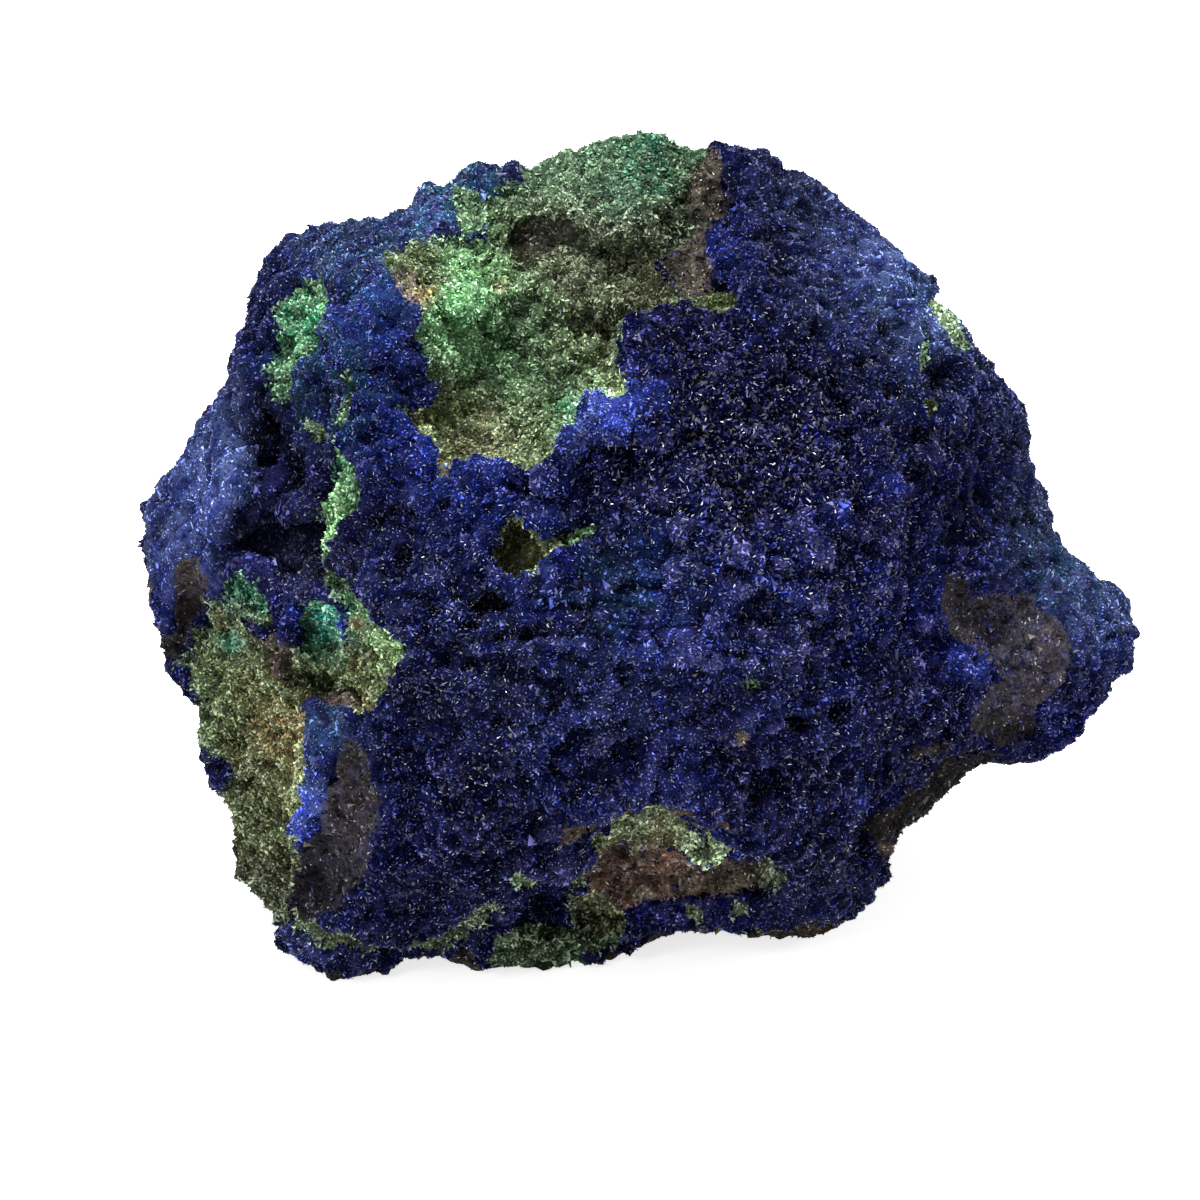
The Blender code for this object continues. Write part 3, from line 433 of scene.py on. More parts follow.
RIDGES = [
    ([(-29.6, 22), (-29.6, 16.4), (-30.6, 9), (-32.7, 5.7)], 0.9, 1.1),
    ([(-29, 18), (-28.2, 14.6), (-27.8, 12)], 0.8, -2.2),
    ([(-28.4, 12), (-29, 9), (-30.6, 6.6)], 0.8, -1),
    ([(15.6, 37), (15.4, 31), (15.8, 25.6)], 0.9, -0.9),
    ([(13, 36.6), (13.4, 31), (13, 25)], 1.2, 0.7),
    ([(26.6, 26), (26.2, 21), (26.6, 16.6)], 1, 0.8),
    ([(-3, 13.2), (0, 15.2), (3, 16.6), (5, 17.6)], 1.2, 0.7),
    ([(-3.4, 11.6), (1, 12.4), (5.6, 12)], 1, -0.9),
    ([(-13, -26), (-9, -24.6), (-5.6, -22), (-3, -19.6), (0, -17.2), (4.6, -15.4), (8, -16.8),
      (12, -19.4), (16, -21.4)], 1.1, 0.9),
    ([(-20.6, 20), (-21, 15.5), (-21.6, 11), (-22.2, 6.4), (-22.8, 3)], 1, 0.9),
    ([(-25.4, -6.6), (-23, -7.6), (-21.4, -8)], 0.7, -0.9),
    ([(-19, -11), (-18.7, -17), (-18.8, -22)], 0.9, 0.6),
]
SWELLINGS = [
    (3.6, -1, 1.6, -0.7), (14.6, -1, 1.8, -0.8), (9, 2.4, 1.2, -0.6), (20.6, 4, 1.4, -0.7),
    (22, -4, 1.6, -0.6), (10.6, -9, 1.8, -0.5), (-3, -8, 1.6, -0.4), (27.6, 7.6, 1.4, -0.6),
    (17.6, 13, 1.4, -0.5), (6.6, 13, 1.6, -0.6), (14, -15, 1.6, -0.5), (25, -10, 1.4, -0.5),
    (28.8, 19.6, 1.3, -1.4), (-4.4, -26, 1.7, -1.6), (-1.2, -19.6, 1, -0.9),
    (-13.6, 27.4, 1.1, -0.9), (-12.4, 19, 2.4, 1.2), (-13, 15, 2.4, 1.1), (-16.4, 18, 1.4, -0.6),
    (34.9, 0, 1.8, 0.9), (9.6, 35.6, 1.4, 0.8), (9.4, 30, 1.2, 0.6), (-4.4, 23.4, 2.4, 1.7),
    (1, 24, 2.6, 2), (-1.6, 23.6, 1.6, 0.8), (-2, 26, 2, 0.6), (7.5, -3.5, 1.7, 0.3),
    (-12, 26, 3, 1.2), (-20, 25, 2.6, 0.9), (-20, 28, 2.2, 0.6), (-18, 22, 2, 0.7),
    (-26, 8, 2.4, 0.7), (9, 10, 2.2, 0.6), (5, 6.5, 1.8, 0.6), (13.4, 2, 1.8, 0.5),
    (-9.6, 14.5, 2.2, -0.6), (-4, 20, 2.4, 0.5), (-2, 27.4, 2.8, 0.8), (-9, 22, 2.2, 0.6),
    (3, 35, 2.6, 0.4), (-16.6, 13, 1.8, 0.7), (1.4, 15.4, 2, 0.5), (-28.6, -10, 2.6, 0.6),
    (-31.6, -7.6, 2, 0.5), (-29.6, -19, 2.2, 0.5), (24.6, 27, 1.6, 0.6), (20.4, 31, 2, -0.7),
    (17, 34.4, 2, -0.7), (-11.6, 8.4, 1.6, 0.4), (-24.4, 21.6, 1.6, -0.8), (-23, 26, 1.2, -0.6),
]
HOLLOWS = [
    ([(-8.6, 6), (-7.5, 7.1), (-6.3, 6.6), (-5.4, 5), (-4.6, 3.4), (-5.5, 2.1), (-7, 1.6),
      (-8.2, 2.2), (-8.8, 4)], 0.5, 0.8),
    ([(-11.5, 0), (-9.5, 0.6), (-7, 0), (-6.5, -1), (-8.5, -1.8), (-11, -1.8)], 0.5, 0.8),
    (BLACK_ON_FACE["left hollow patch"], 0.5, 0.5),
    (BLACK_ON_FACE["left slot"], 0.5, 0.8),
    (BROWN_ON_FACE["shelf under the crust"], 1.0, 1.0),
    ([(-28.9, 7.2), (-26.8, 6.6), (-24, 6.8), (-23.4, 5.3), (-23, 3.4), (-23, 1.7), (-24.2, 1.7),
      (-25.7, 1.3), (-26.8, 2.6), (-27.6, 3.4), (-28.4, 4), (-30.6, 3.6), (-32.6, 4.5),
      (-30.2, 6)], 0.6, 0.4),
    ([(-28.2, 8.4), (-26.4, 6.8), (-24, 7), (-23.5, 5.4), (-23.2, 3), (-23.6, 1.8), (-24.8, 2.2),
      (-26, 4), (-27.4, 5.4), (-28.6, 6.4)], 2.4, 0.8),
    ([(27.6, 21), (29, 21.4), (30.6, 20), (30.6, 18), (28, 17.4)], 1.4, 0.6),
    ([(-20.8, 20), (-21.6, 14), (-21.6, 9), (-22.8, 5), (-23.2, 2), (-24.6, 0.6), (-26, 3),
      (-26.6, 9), (-25.6, 13), (-24, 18)], 0.8, 1.0),
]


def skin_of(node_name):
    """A smooth, evenly woven copy of the frame's solid."""
    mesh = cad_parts[node_name].data.copy()
    carrier = set_out("carrier", mesh)
    carrier.modifiers.new("weld", "WELD").merge_threshold = 1e-6
    even = carrier.modifiers.new("even", "REMESH")
    even.mode = "VOXEL"
    even.voxel_size = SKIN_CELL * MM
    calm = carrier.modifiers.new("calm", "SMOOTH")
    calm.factor = 0.6
    calm.iterations = 10
    made = plain_mesh(carrier)
    made.materials.clear()
    return made


def plain_mesh(carrier):
    """What a carrier's modifiers make, as a mesh of its own. The carrier goes."""
    graph = bpy.context.evaluated_depsgraph_get()
    made = bpy.data.meshes.new_from_object(carrier.evaluated_get(graph))
    ground = carrier.data
    bpy.data.objects.remove(carrier)
    bpy.data.meshes.remove(ground)
    return made


def read(mesh, name="co"):
    values = np.empty(len(mesh.vertices) * 3, np.float32)
    mesh.vertices.foreach_get(name, values)
    return values.reshape(-1, 3).astype(float)


def move_to(mesh, places):
    """Moves a mesh's points, none of them below the table."""
    places[:, 2] = np.maximum(places[:, 2], 0.0)
    mesh.vertices.foreach_set("co", places.astype(np.float32).ravel())
    mesh.update()


def keep(mesh, name, values):
    """Stores a number, or a colour with or without a share in its fourth part, for each point."""
    values = np.asarray(values, np.float32)
    if values.ndim == 1:
        mesh.attributes.new(name, "FLOAT", "POINT").data.foreach_set("value", values)
        return
    whole = np.ones((len(values), 4), np.float32)
    whole[:, :values.shape[1]] = values
    mesh.attributes.new(name, "FLOAT_COLOR", "POINT").data.foreach_set("color", whole.ravel())


def spread(values, rounds):
    """Values averaged with those of their neighbours on the skin, round after round."""
    ends = np.empty(len(skin.edges) * 2, np.int32)
    skin.edges.foreach_get("vertices", ends)
    a, b = ends.reshape(-1, 2).T
    count = len(skin.vertices)
    around = np.bincount(a, minlength=count) + np.bincount(b, minlength=count)
    for _ in range(rounds):
        total = np.empty_like(values)
        for column in range(3):
            share = values[:, column]
            total[:, column] = np.bincount(a, share[b], count) + np.bincount(b, share[a], count)
        values = 0.4 * values + 0.6 * total / around[:, None]
    return values


def smooth_step(x):
    x = np.clip(x, 0.0, 1.0)
    return x * x * (3 - 2 * x)


def swell(width, shift):
    """Smooth noise on the skin from about -1 to 1, with swells of this width in millimetres."""
    return np.array([noise.noise(Vector(p)) for p in points / (width * MM) + shift])


def beads(width, shift):
    """Rounded bumps that meet in creases: 1 on top, 0 in the deepest creases."""
    near = np.array([noise.voronoi(Vector(p))[0][:2] for p in points / (width * MM) + shift])
    return np.clip(1 - near[:, 0] ** 2, 0, 1) * smooth_step((near[:, 1] - near[:, 0]) * 4 + 0.3)


def clouds(width, share, edge, shift):
    """Patches from 0 to 1, this wide, that cover about this share of the surface."""
    return smooth_step((swell(width, shift) + (share - 0.5) * 0.9) / (2 * edge) + 0.5)


def off_edge(start, end, u, v):
    """How far points lie from a straight edge, in millimetres."""
    (au, av), (bu, bv) = start, end
    along_u, along_v = bu - au, bv - av
    share = ((u - au) * along_u + (v - av) * along_v) / (along_u**2 + along_v**2)
    share = np.clip(share, 0, 1)
    return np.hypot(u - au - share * along_u, v - av - share * along_v)


def off_path(path, u, v):
    return np.min([off_edge(start, end, u, v) for start, end in zip(path, path[1:])], axis=0)


def inside_by(outline, u, v):
    """How far points lie inside an outline, in millimetres, and negative outside it."""
    inside = np.zeros(len(u), bool)
    for (au, av), (bu, bv) in zip(outline, outline[1:] + outline[:1]):
        crosses = (av > v) != (bv > v)
        inside ^= crosses & (u < au + (bu - au) * (v - av) / (bv - av or 1e-9))
    nearest = off_path(outline + outline[:1], u, v)
    return np.where(inside, nearest, -nearest)


def deepest(outlines, u, v):
    return np.max([inside_by(outline, u, v) for outline in outlines.values()], axis=0)


def on_both(face_outlines, back_outlines):
    on_front = np.minimum(deepest(face_outlines, face_u, face_v), face_reach)
    on_rear = np.minimum(deepest(back_outlines, back_u, back_v), back_reach)
    return np.maximum(on_front, on_rear)


def patch(middle_u, middle_v, reach_u, reach_v):
    """One soft spot on the front, longer one way than the other."""
    return np.exp(-(((u - middle_u) / reach_u) ** 2 + ((v - middle_v) / reach_v) ** 2)) * front


def gathered(spots):
    """Soft spots added up."""
    total = np.zeros(len(u))
    for spot_u, spot_v, reach, strength in spots:
        total += strength * np.exp(-((u - spot_u) ** 2 + (v - spot_v) ** 2) / reach**2)
    return total


def tint(spots):
    """Soft spots on the front, from 0 to 1."""
    return np.clip(gathered(spots), 0, 1) * front


skin = skin_of("azurite_specimen")
points, normals = read(skin), read(skin, "normal")
broad_normals = spread(normals, BROAD_ROUNDS)
broad_normals /= np.linalg.norm(broad_normals, axis=1)[:, None]
facing = broad_normals @ np.array(TO_CAMERA)

# Where the skin's points lie on the main face: u to the right, v up, w towards the camera.
x, y, z = (points / MM - FACE_MIDDLE).T
w = -y * LEAN_COS + z * LEAN_SIN
narrowing = 1 - w / SIGHT_DISTANCE
u, v = x / narrowing, (y * LEAN_SIN + z * LEAN_COS) / narrowing

# The borders wander a little, as broken crust does.
wander_u = 0.4 * swell(2.2, 11.0) + 0.35 * swell(1.0, 23.0)
wander_v = 0.4 * swell(2.2, 37.0) + 0.35 * swell(1.0, 41.0)
turned_away = 1 - smooth_step((facing - 0.02) / 0.3)
face_u = u + wander_u + 3.2 * turned_away * swell(7.0, 77.0)
face_v = v + wander_v + 1.6 * turned_away * swell(5.0, 79.0)
back_u, back_v = u + 3 * wander_u, v + 3 * wander_v
face_reach = (facing + 0.34) * 16 + 3 * swell(3.5, 67.0) + swell(1.2, 69.0)
back_reach = (-0.16 - facing) * 16 - 3 * swell(3.5, 67.0) - swell(1.2, 69.0)
front = smooth_step((facing + 0.3) / 0.25)
behind = 1 - front

green = on_both(GREEN_ON_FACE, GREEN_ON_BACK)
blue_islands = np.minimum(deepest(BLUE_IN_GREEN, face_u, face_v), face_reach)
green = np.minimum(green, -blue_islands)
black = on_both(BLACK_ON_FACE, BLACK_ON_BACK)
brown = on_both(BROWN_ON_FACE, BROWN_ON_BACK)
underside = (-0.72 - broad_normals[:, 2]) * 14 + 2.5 * swell(6.0, 5.0)
brown = np.maximum(brown, underside)

in_green = smooth_step(green / BORDER + 0.5)
soft_border = BORDER + 1.6 * np.clip(gathered(SOFT_BORDER), 0, 1) * front
in_black = smooth_step(black / soft_border + 0.5)
in_brown = smooth_step(brown / BORDER + 0.5)
bare = np.maximum(in_black, in_brown)
in_green = in_green * (1 - bare)
in_blue = (1 - in_green) * (1 - bare)

# How the surface stands: knobs of crust, spongy malachite, duller broken matrix.
vigour = 0.8 + 0.6 * swell(9.0, 31.0)
knobs = 0.8 * (beads(3.2, 4.0) - 0.62) * vigour + 0.65 * (beads(1.6, 9.0) - 0.55)
knobs += 0.6 * swell(6.0, 6.0) + 0.4 * swell(1.0, 1.0)
knobs -= clouds(2.6, 0.16, 0.12, 15.0)
streaks = np.array([noise.noise(Vector((a / 7.0, b / 0.9, 3.0))) for a, b in zip(u, v)])
knobs += 0.8 * streaks * patch(-3, -3.5, 17, 5.5)
calm = tint(SMOOTH)
knobs *= 1 - 0.45 * calm
sponge = 0.85 * (beads(2.3, 2.0) - 0.5) + 0.65 * (beads(1.1, 21.0) - 0.5)
sponge += 0.6 * swell(4.2, 7.0) + 0.45 * swell(0.8, 3.0)
sponge -= 0.6 * clouds(1.7, 0.2, 0.12, 33.0)
broken = 0.5 * swell(3.0, 13.0) + 0.5 * swell(1.2, 19.0)
broken += 0.45 * (beads(1.5, 43.0) - 0.5)
rise = in_blue * knobs + in_green * sponge + bare * broken
rise -= 0.8 * smooth_step(green + 0.3) + 0.35 * smooth_step(black / 1.2 + 0.2)
rise += 0.55 * np.exp(-(((green + 0.9) / 0.8) ** 2)) * in_blue

for middle_u, middle_v, reach, height in SWELLINGS:
    apart = np.hypot(u - middle_u, v - middle_v) / reach
    rise += height * np.exp(-(apart**2)) * front
knobby = np.zeros(len(u))
for middle_u, middle_v, reach in KNOBS:
    apart = np.hypot(face_u - middle_u, face_v - middle_v) / reach
    knobby += np.exp(-(apart**3)) * front
knobby = np.clip(knobby, 0, 1)
rise += 0.7 * knobby * in_blue
for path, width, height in RIDGES:
    rise += height * np.exp(-((off_path(path, face_u, face_v) / width) ** 2)) * front
plated = smooth_step(deepest(PLATES_ON_FACE, face_u, face_v) / 0.5) * front
rise += 0.9 * plated
for outline, depth, edge in HOLLOWS:
    rise -= depth * smooth_step(inside_by(outline, face_u, face_v) / edge) * front
ring = np.hypot(u - RING_MIDDLE[0], v - RING_MIDDLE[1])
ring_wall = RING_HEIGHT * np.exp(-(((ring - RING_RADIUS) / RING_WIDTH) ** 2))
rise += front * (ring_wall - RING_DEPTH * np.exp(-((ring / RING_HOLE) ** 2)))

calm_rim = smooth_step((np.abs(facing) + 0.02) / 0.25) * 0.4 + 0.6
points = points + normals * (rise * calm_rim * MM)[:, None]
move_to(skin, points)
normals = read(skin, "normal")
hollow = np.einsum("ij,ij->i", spread(points, HOLLOW_ROUNDS) - points, normals) / MM
dip = np.einsum("ij,ij->i", spread(points, DIP_ROUNDS) - points, normals) / MM
shade = np.clip(1.6 * hollow + 0.5 * dip, 0, 1) * (1 - 0.75 * tint(OPEN))
# Painted light: the crests, which several colours below make paler.
crest = np.clip(-1.6 * hollow - 0.4 * dip, 0, 1)


def tone(red, green_part, blue):
    """A colour as the eye reads it, 0 to 255, in the renderer's own scale."""
    parts = [part / 255 for part in (red, green_part, blue)]
    return [p / 12.92 if p <= 0.04045 else ((p + 0.055) / 1.055) ** 2.4 for p in parts]


def coated(base, *coats):
    """A colour with others laid over it in turn, each by its share of every point, then made
    lighter or darker by the painted light and shade.
    """
    colour = np.tile(tone(*base), (len(points), 1))
    for coat, share in coats:
        colour = colour + (np.array(tone(*coat)) - colour) * np.clip(share, 0, 1)[:, None]
    return colour * lit[:, None]


# Azurite: near-black ink blue, with velvety periwinkle knobs, paler where its back faces up.
# Painted light and shade, partly the stone's own tone: every colour below is made lighter or
# darker, in stops, at the LIT spots.
lit = 2.0 ** (gathered(LIT) * front)
up = np.clip(broad_normals[:, 2], 0, 1)
royal = np.maximum(tint(ROYAL), behind * clouds(7.0, 0.3, 0.2, 17.0))
weathered = tint(WEATHERED) + behind * smooth_step(0.1 + 0.7 * up) * 0.8
teal = tint(TEAL) + behind * clouds(9.0, 0.25, 0.2, 27.0)
velvety = clouds(2.2, 0.06, 0.1, 12.0) * smooth_step(0.4 + 1.2 * crest)
velvety = np.clip(0.5 * velvety + knobby, 0, 1)
streaky = clouds(0.8, 0.5, 0.15, 45.0)
azure = coated(
    (11, 16, 70),
    ((26, 38, 110), clouds(5.0, 0.5, 0.2, 3.0) * 0.9),
    ((80, 86, 148), clouds(1.3, 0.35, 0.12, 25.0) * (0.2 + 0.6 * crest)),
    # Painted shade: dark patches about a millimetre wide, standing in for shade in the crust's
    # gaps.
    ((4, 6, 34), clouds(1.1, 0.3, 0.12, 55.0) * 0.8),
    ((98, 98, 164), velvety * (0.2 + 0.7 * streaky)),
    ((44, 64, 154), royal * (0.2 + 0.8 * clouds(1.2, 0.5, 0.2, 5.0))),
    ((92, 108, 156), weathered * (0.2 + 0.7 * clouds(1.4, 0.5, 0.2, 7.0))),
    ((58, 112, 138), teal * 0.7 * clouds(1.6, 0.5, 0.2, 29.0)),
    ((5, 8, 46), tint(DEEP_BLUE) * 0.85),
    ((46, 48, 72), tint(INKY) * 0.9),
    ((50, 54, 112), plated * 0.8),
    ((62, 84, 215), tint(COBALT) * (0.2 + 0.8 * streaky)),
    ((230, 205, 165), tint(CREAM)),
    ((1, 3, 26), shade * 0.8))
# How many crystals may take a painted glint, kept in the azure colour's fourth part: more on the
# GLITTER spots, fewer on calm planes.
glitter = 0.5 + 0.5 * tint(GLITTER) + 0.1 * weathered - 0.4 * calm
azure = np.column_stack((azure, np.clip(glitter, 0, 1)))

# Malachite: leaf green, olive where iron crept in, emerald where it is purest.
emerald = tint(EMERALD) + behind * clouds(7.0, 0.3, 0.15, 8.0)
olive = tint(OLIVE) + behind * clouds(9.0, 0.5, 0.2, 14.0)
# Painted shade under ledges and in recesses, mixed with a dusky tone; it darkens the malachite and
# the matrix.
dusky_tone_and_shade = tint(DUSKY_TONE_AND_SHADE)
rust = tint(RUST)
leaf = coated(
    (62, 96, 68),
    ((106, 140, 104), clouds(1.6, 0.4, 0.15, 1.0)),
    ((132, 190, 124), tint(BRIGHT)),
    ((112, 112, 66), olive * 0.85),
    ((46, 140, 104), emerald * (0.4 + 0.6 * clouds(1.6, 0.6, 0.2, 6.0))),
    ((70, 168, 160), tint(TURQUOISE) * (0.4 + 0.6 * clouds(1.0, 0.5, 0.2, 35.0))),
    ((74, 70, 54), dusky_tone_and_shade * 0.85),
    ((156, 100, 56), rust * (0.3 + 0.7 * clouds(1.2, 0.5, 0.2, 10.0))),
    ((132, 140, 118), tint(ASHEN) * 0.9),
    # Painted light: paler green on the crests.
    ((168, 200, 158), crest * 0.4 * (1 - 0.7 * dusky_tone_and_shade)),
    ((236, 208, 165), tint(CREAM)),
    ((26, 34, 18), shade * 0.8))

# Matrix: near-black with an umber cast, and iron stains.
blackened = smooth_step(black / 0.8 + 1.6)
pale_grit = clouds(0.7, 0.3, 0.1, 57.0) * in_brown * front
grit = coated(
    (76, 64, 58),
    ((122, 110, 98), clouds(1.0, 0.35, 0.15, 18.0)),
    ((112, 66, 50), rust * clouds(1.8, 0.5, 0.2, 16.0)),
    ((40, 38, 39), blackened * 0.85),
    ((74, 76, 66), dusky_tone_and_shade * 0.8 * (1 - blackened)),
    ((52, 52, 72), tint(BLUISH) * blackened),
    ((74, 72, 96), in_black * clouds(1.0, 0.3, 0.12, 22.0) * 0.4),
    # Pale grit, made paler still on the crests by painted light.
    ((176, 166, 146), pale_grit * (0.15 + 0.5 * crest)),
    ((14, 13, 13), shade * 0.8))
# Painted shade: the matrix is darker where it faces down.
grit *= (1 - 0.6 * smooth_step((-0.1 - broad_normals[:, 2]) / 0.5))[:, None]

borders = {"green": green, "black": black, "brown": brown}
for name, values in (borders | {"azure": azure, "leaf": leaf, "grit": grit}).items():
    keep(skin, name, values)


def add(tree, kind, inputs=None, **settings):
    """A node with its settings, whose inputs are values or other nodes' outputs."""
    node = tree.nodes.new(kind)
    for name, value in settings.items():
        setattr(node, name, value)
    for name, value in (inputs or {}).items():
        if isinstance(value, bpy.types.NodeSocket):
            tree.links.new(value, node.inputs[name])
        else:
            node.inputs[name].default_value = value
    return node


def layered(tree, below, above, share, kind="MIX"):
    """Colour above laid over colour below by a share."""
    mix = add(tree, "ShaderNodeMix", {0: share, 6: below, 7: above}, data_type="RGBA",
              blend_type=kind)
    return mix.outputs[2]


def times(tree, colour, amount):
    return layered(tree, colour, amount, 1.0, "MULTIPLY")


def reading(tree, name, output="Fac"):
    return add(tree, "ShaderNodeAttribute", attribute_name=name).outputs[output]


def figure(tree, operation, *values):
    return add(tree, "ShaderNodeMath", dict(enumerate(values)), operation=operation).outputs[0]


def ragged_group():
    """A crisp but ragged border, from a distance inside it in millimetres."""
    group = bpy.data.node_groups.new("ragged border", "ShaderNodeTree")
    for label in ("Distance", "Grain", "Raggedness"):
        group.interface.new_socket(label, in_out="INPUT", socket_type="NodeSocketFloat")
    group.interface.new_socket("Mask", in_out="OUTPUT", socket_type="NodeSocketFloat")
    start, end = group.nodes.new("NodeGroupInput"), group.nodes.new("NodeGroupOutput")
    swing = figure(group, "MULTIPLY", figure(group, "SUBTRACT", start.outputs["Grain"], 0.5), 4.0)
    moved = figure(group, "ADD", start.outputs["Distance"], figure(
        group, "MULTIPLY", swing, start.outputs["Raggedness"]))
    mask = add(group, "ShaderNodeMapRange", {"Value": moved, "From Min": -0.12, "From Max": 0.12},
               interpolation_type="SMOOTHSTEP")
    group.links.new(mask.outputs[0], end.inputs["Mask"])
    return group


ragged = ragged_group()


def inside(tree, name, grain, raggedness):
    return add(tree, "ShaderNodeGroup", {
        "Distance": reading(tree, name), "Grain": grain, "Raggedness": raggedness},
        node_tree=ragged).outputs["Mask"]


def rough_lump_material():
    material, tree, shader = new_material(
        "rough lump", {"Roughness": 0.6, "Specular IOR Level": 0.015})
    grain = add(tree, "ShaderNodeTexNoise", {
        "Vector": add(tree, "ShaderNodeTexCoord").outputs["Object"], "Scale": 3000.0,
        "Detail": 3.0, "Roughness": 0.75}).outputs["Fac"]
    # Painted shade: the skin under the druse and the moss is darker, where it lies in the gaps
    # between crystals.
    shaded_gaps = times(tree, reading(tree, "azure", "Color"), (0.35, 0.35, 0.4, 1))
    shaded_roots = times(tree, reading(tree, "leaf", "Color"), (0.6, 0.6, 0.6, 1))
    colour = layered(tree, shaded_gaps, shaded_roots, inside(tree, "green", grain, 0.4))
    matrix = figure(tree, "MAXIMUM", inside(tree, "brown", grain, 0.6),
                    inside(tree, "black", grain, 0.3))
    colour = layered(tree, colour, reading(tree, "grit", "Color"), matrix)
    lightness = add(tree, "ShaderNodeMapRange", {
        "Value": grain, "From Min": 0.3, "From Max": 0.7, "To Min": 0.1, "To Max": 1.1})
    tree.links.new(times(tree, colour, lightness.outputs[0]), shader.inputs["Base Color"])
    ridges = add(tree, "ShaderNodeBump", {"Height": grain, "Distance": 0.5 * MM})
    tree.links.new(ridges.outputs["Normal"], shader.inputs["Normal"])
    return material


def part_of(mesh, chosen):
    """A copy of a mesh with only the chosen faces."""
    part = mesh.copy()
    shape = bmesh.new()
    shape.from_mesh(part)
    spare = [face for face, keeps in zip(shape.faces, chosen) if not keeps]
    bmesh.ops.delete(shape, geom=spare, context="FACES")
    shape.to_mesh(part)
    shape.free()
    return part


skin.shade_smooth()
skin.materials.append(rough_lump_material())
in_front = np.array([face.center.y < LUMP_SPLIT * MM for face in skin.polygons])
for name, chosen in (("rough_lump_front", in_front), ("rough_lump_back", ~in_front)):
    lump = set_out(name, part_of(skin, chosen))
    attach(lump, "root")
    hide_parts("azurite_specimen")

# ---------------------------------------------------------------------------------------------
# The azurite druse. Tiny dark blue chips and slivers, a quarter to half a millimetre long, grew
# all over the crust at every slant. They glint by painted glints, a pale colour laid by chance,
# mostly on the slivers; the palest of them are also glossy, and painted shade darkens their roots.
# ---------------------------------------------------------------------------------------------
CLEAR_OF_TABLE = 0.4
GLOSSY_FROM = 0.45
SHEEN_TONE = (104, 106, 184)
# Five pieces of crust: the first and the last bearing of each, in degrees from the front.
SECTORS = {"azurite_crust_left": (-110, -22), "azurite_crust_front": (-22, 22),
           "azurite_crust_right": (22, 110), "azurite_crust_back_right": (110, 180),
           "azurite_crust_back_left": (180, 250)}
seed_crystals = []


def little_crystal(name, corners, faces, highlight_share):
    """A crystal one unit long: how far up each corner is, and how far the crystal may take a pale
    painted highlight.
    """
    mesh = bpy.data.meshes.new(name)
    mesh.from_pydata(corners, [], faces)
    keep(mesh, "tip", [float(z > 0) for _, _, z in corners])
    keep(mesh, "highlight_share", [highlight_share] * len(corners))
    seed_crystals.append(bpy.data.objects.new(name, mesh))
    return seed_crystals[-1]


def splinter(name, root, tip, lean, length, highlight_share):
    """A four-faced shard whose tip edge lies across its root edge."""
    corners = [(-root / 2, 0, -0.5), (root / 2, 0, -0.5), (lean, -tip / 2, length),
               (lean, tip / 2, length)]
    return little_crystal(name, corners, [(0, 1, 3), (1, 0, 2), (0, 3, 2), (1, 2, 3)], highlight_share)


def chip(name, reaches, peak, highlight_share=0.0):
    """A low three-sided chip with one peak."""
    corners = [(math.cos(turn) * reach, math.sin(turn) * reach, -0.25)
               for turn, reach in zip((0.0, 2.2, 4.1), reaches)] + [peak]
    return little_crystal(name, corners, [(0, 2, 1), (0, 1, 3), (1, 2, 3), (2, 0, 3)], highlight_share)


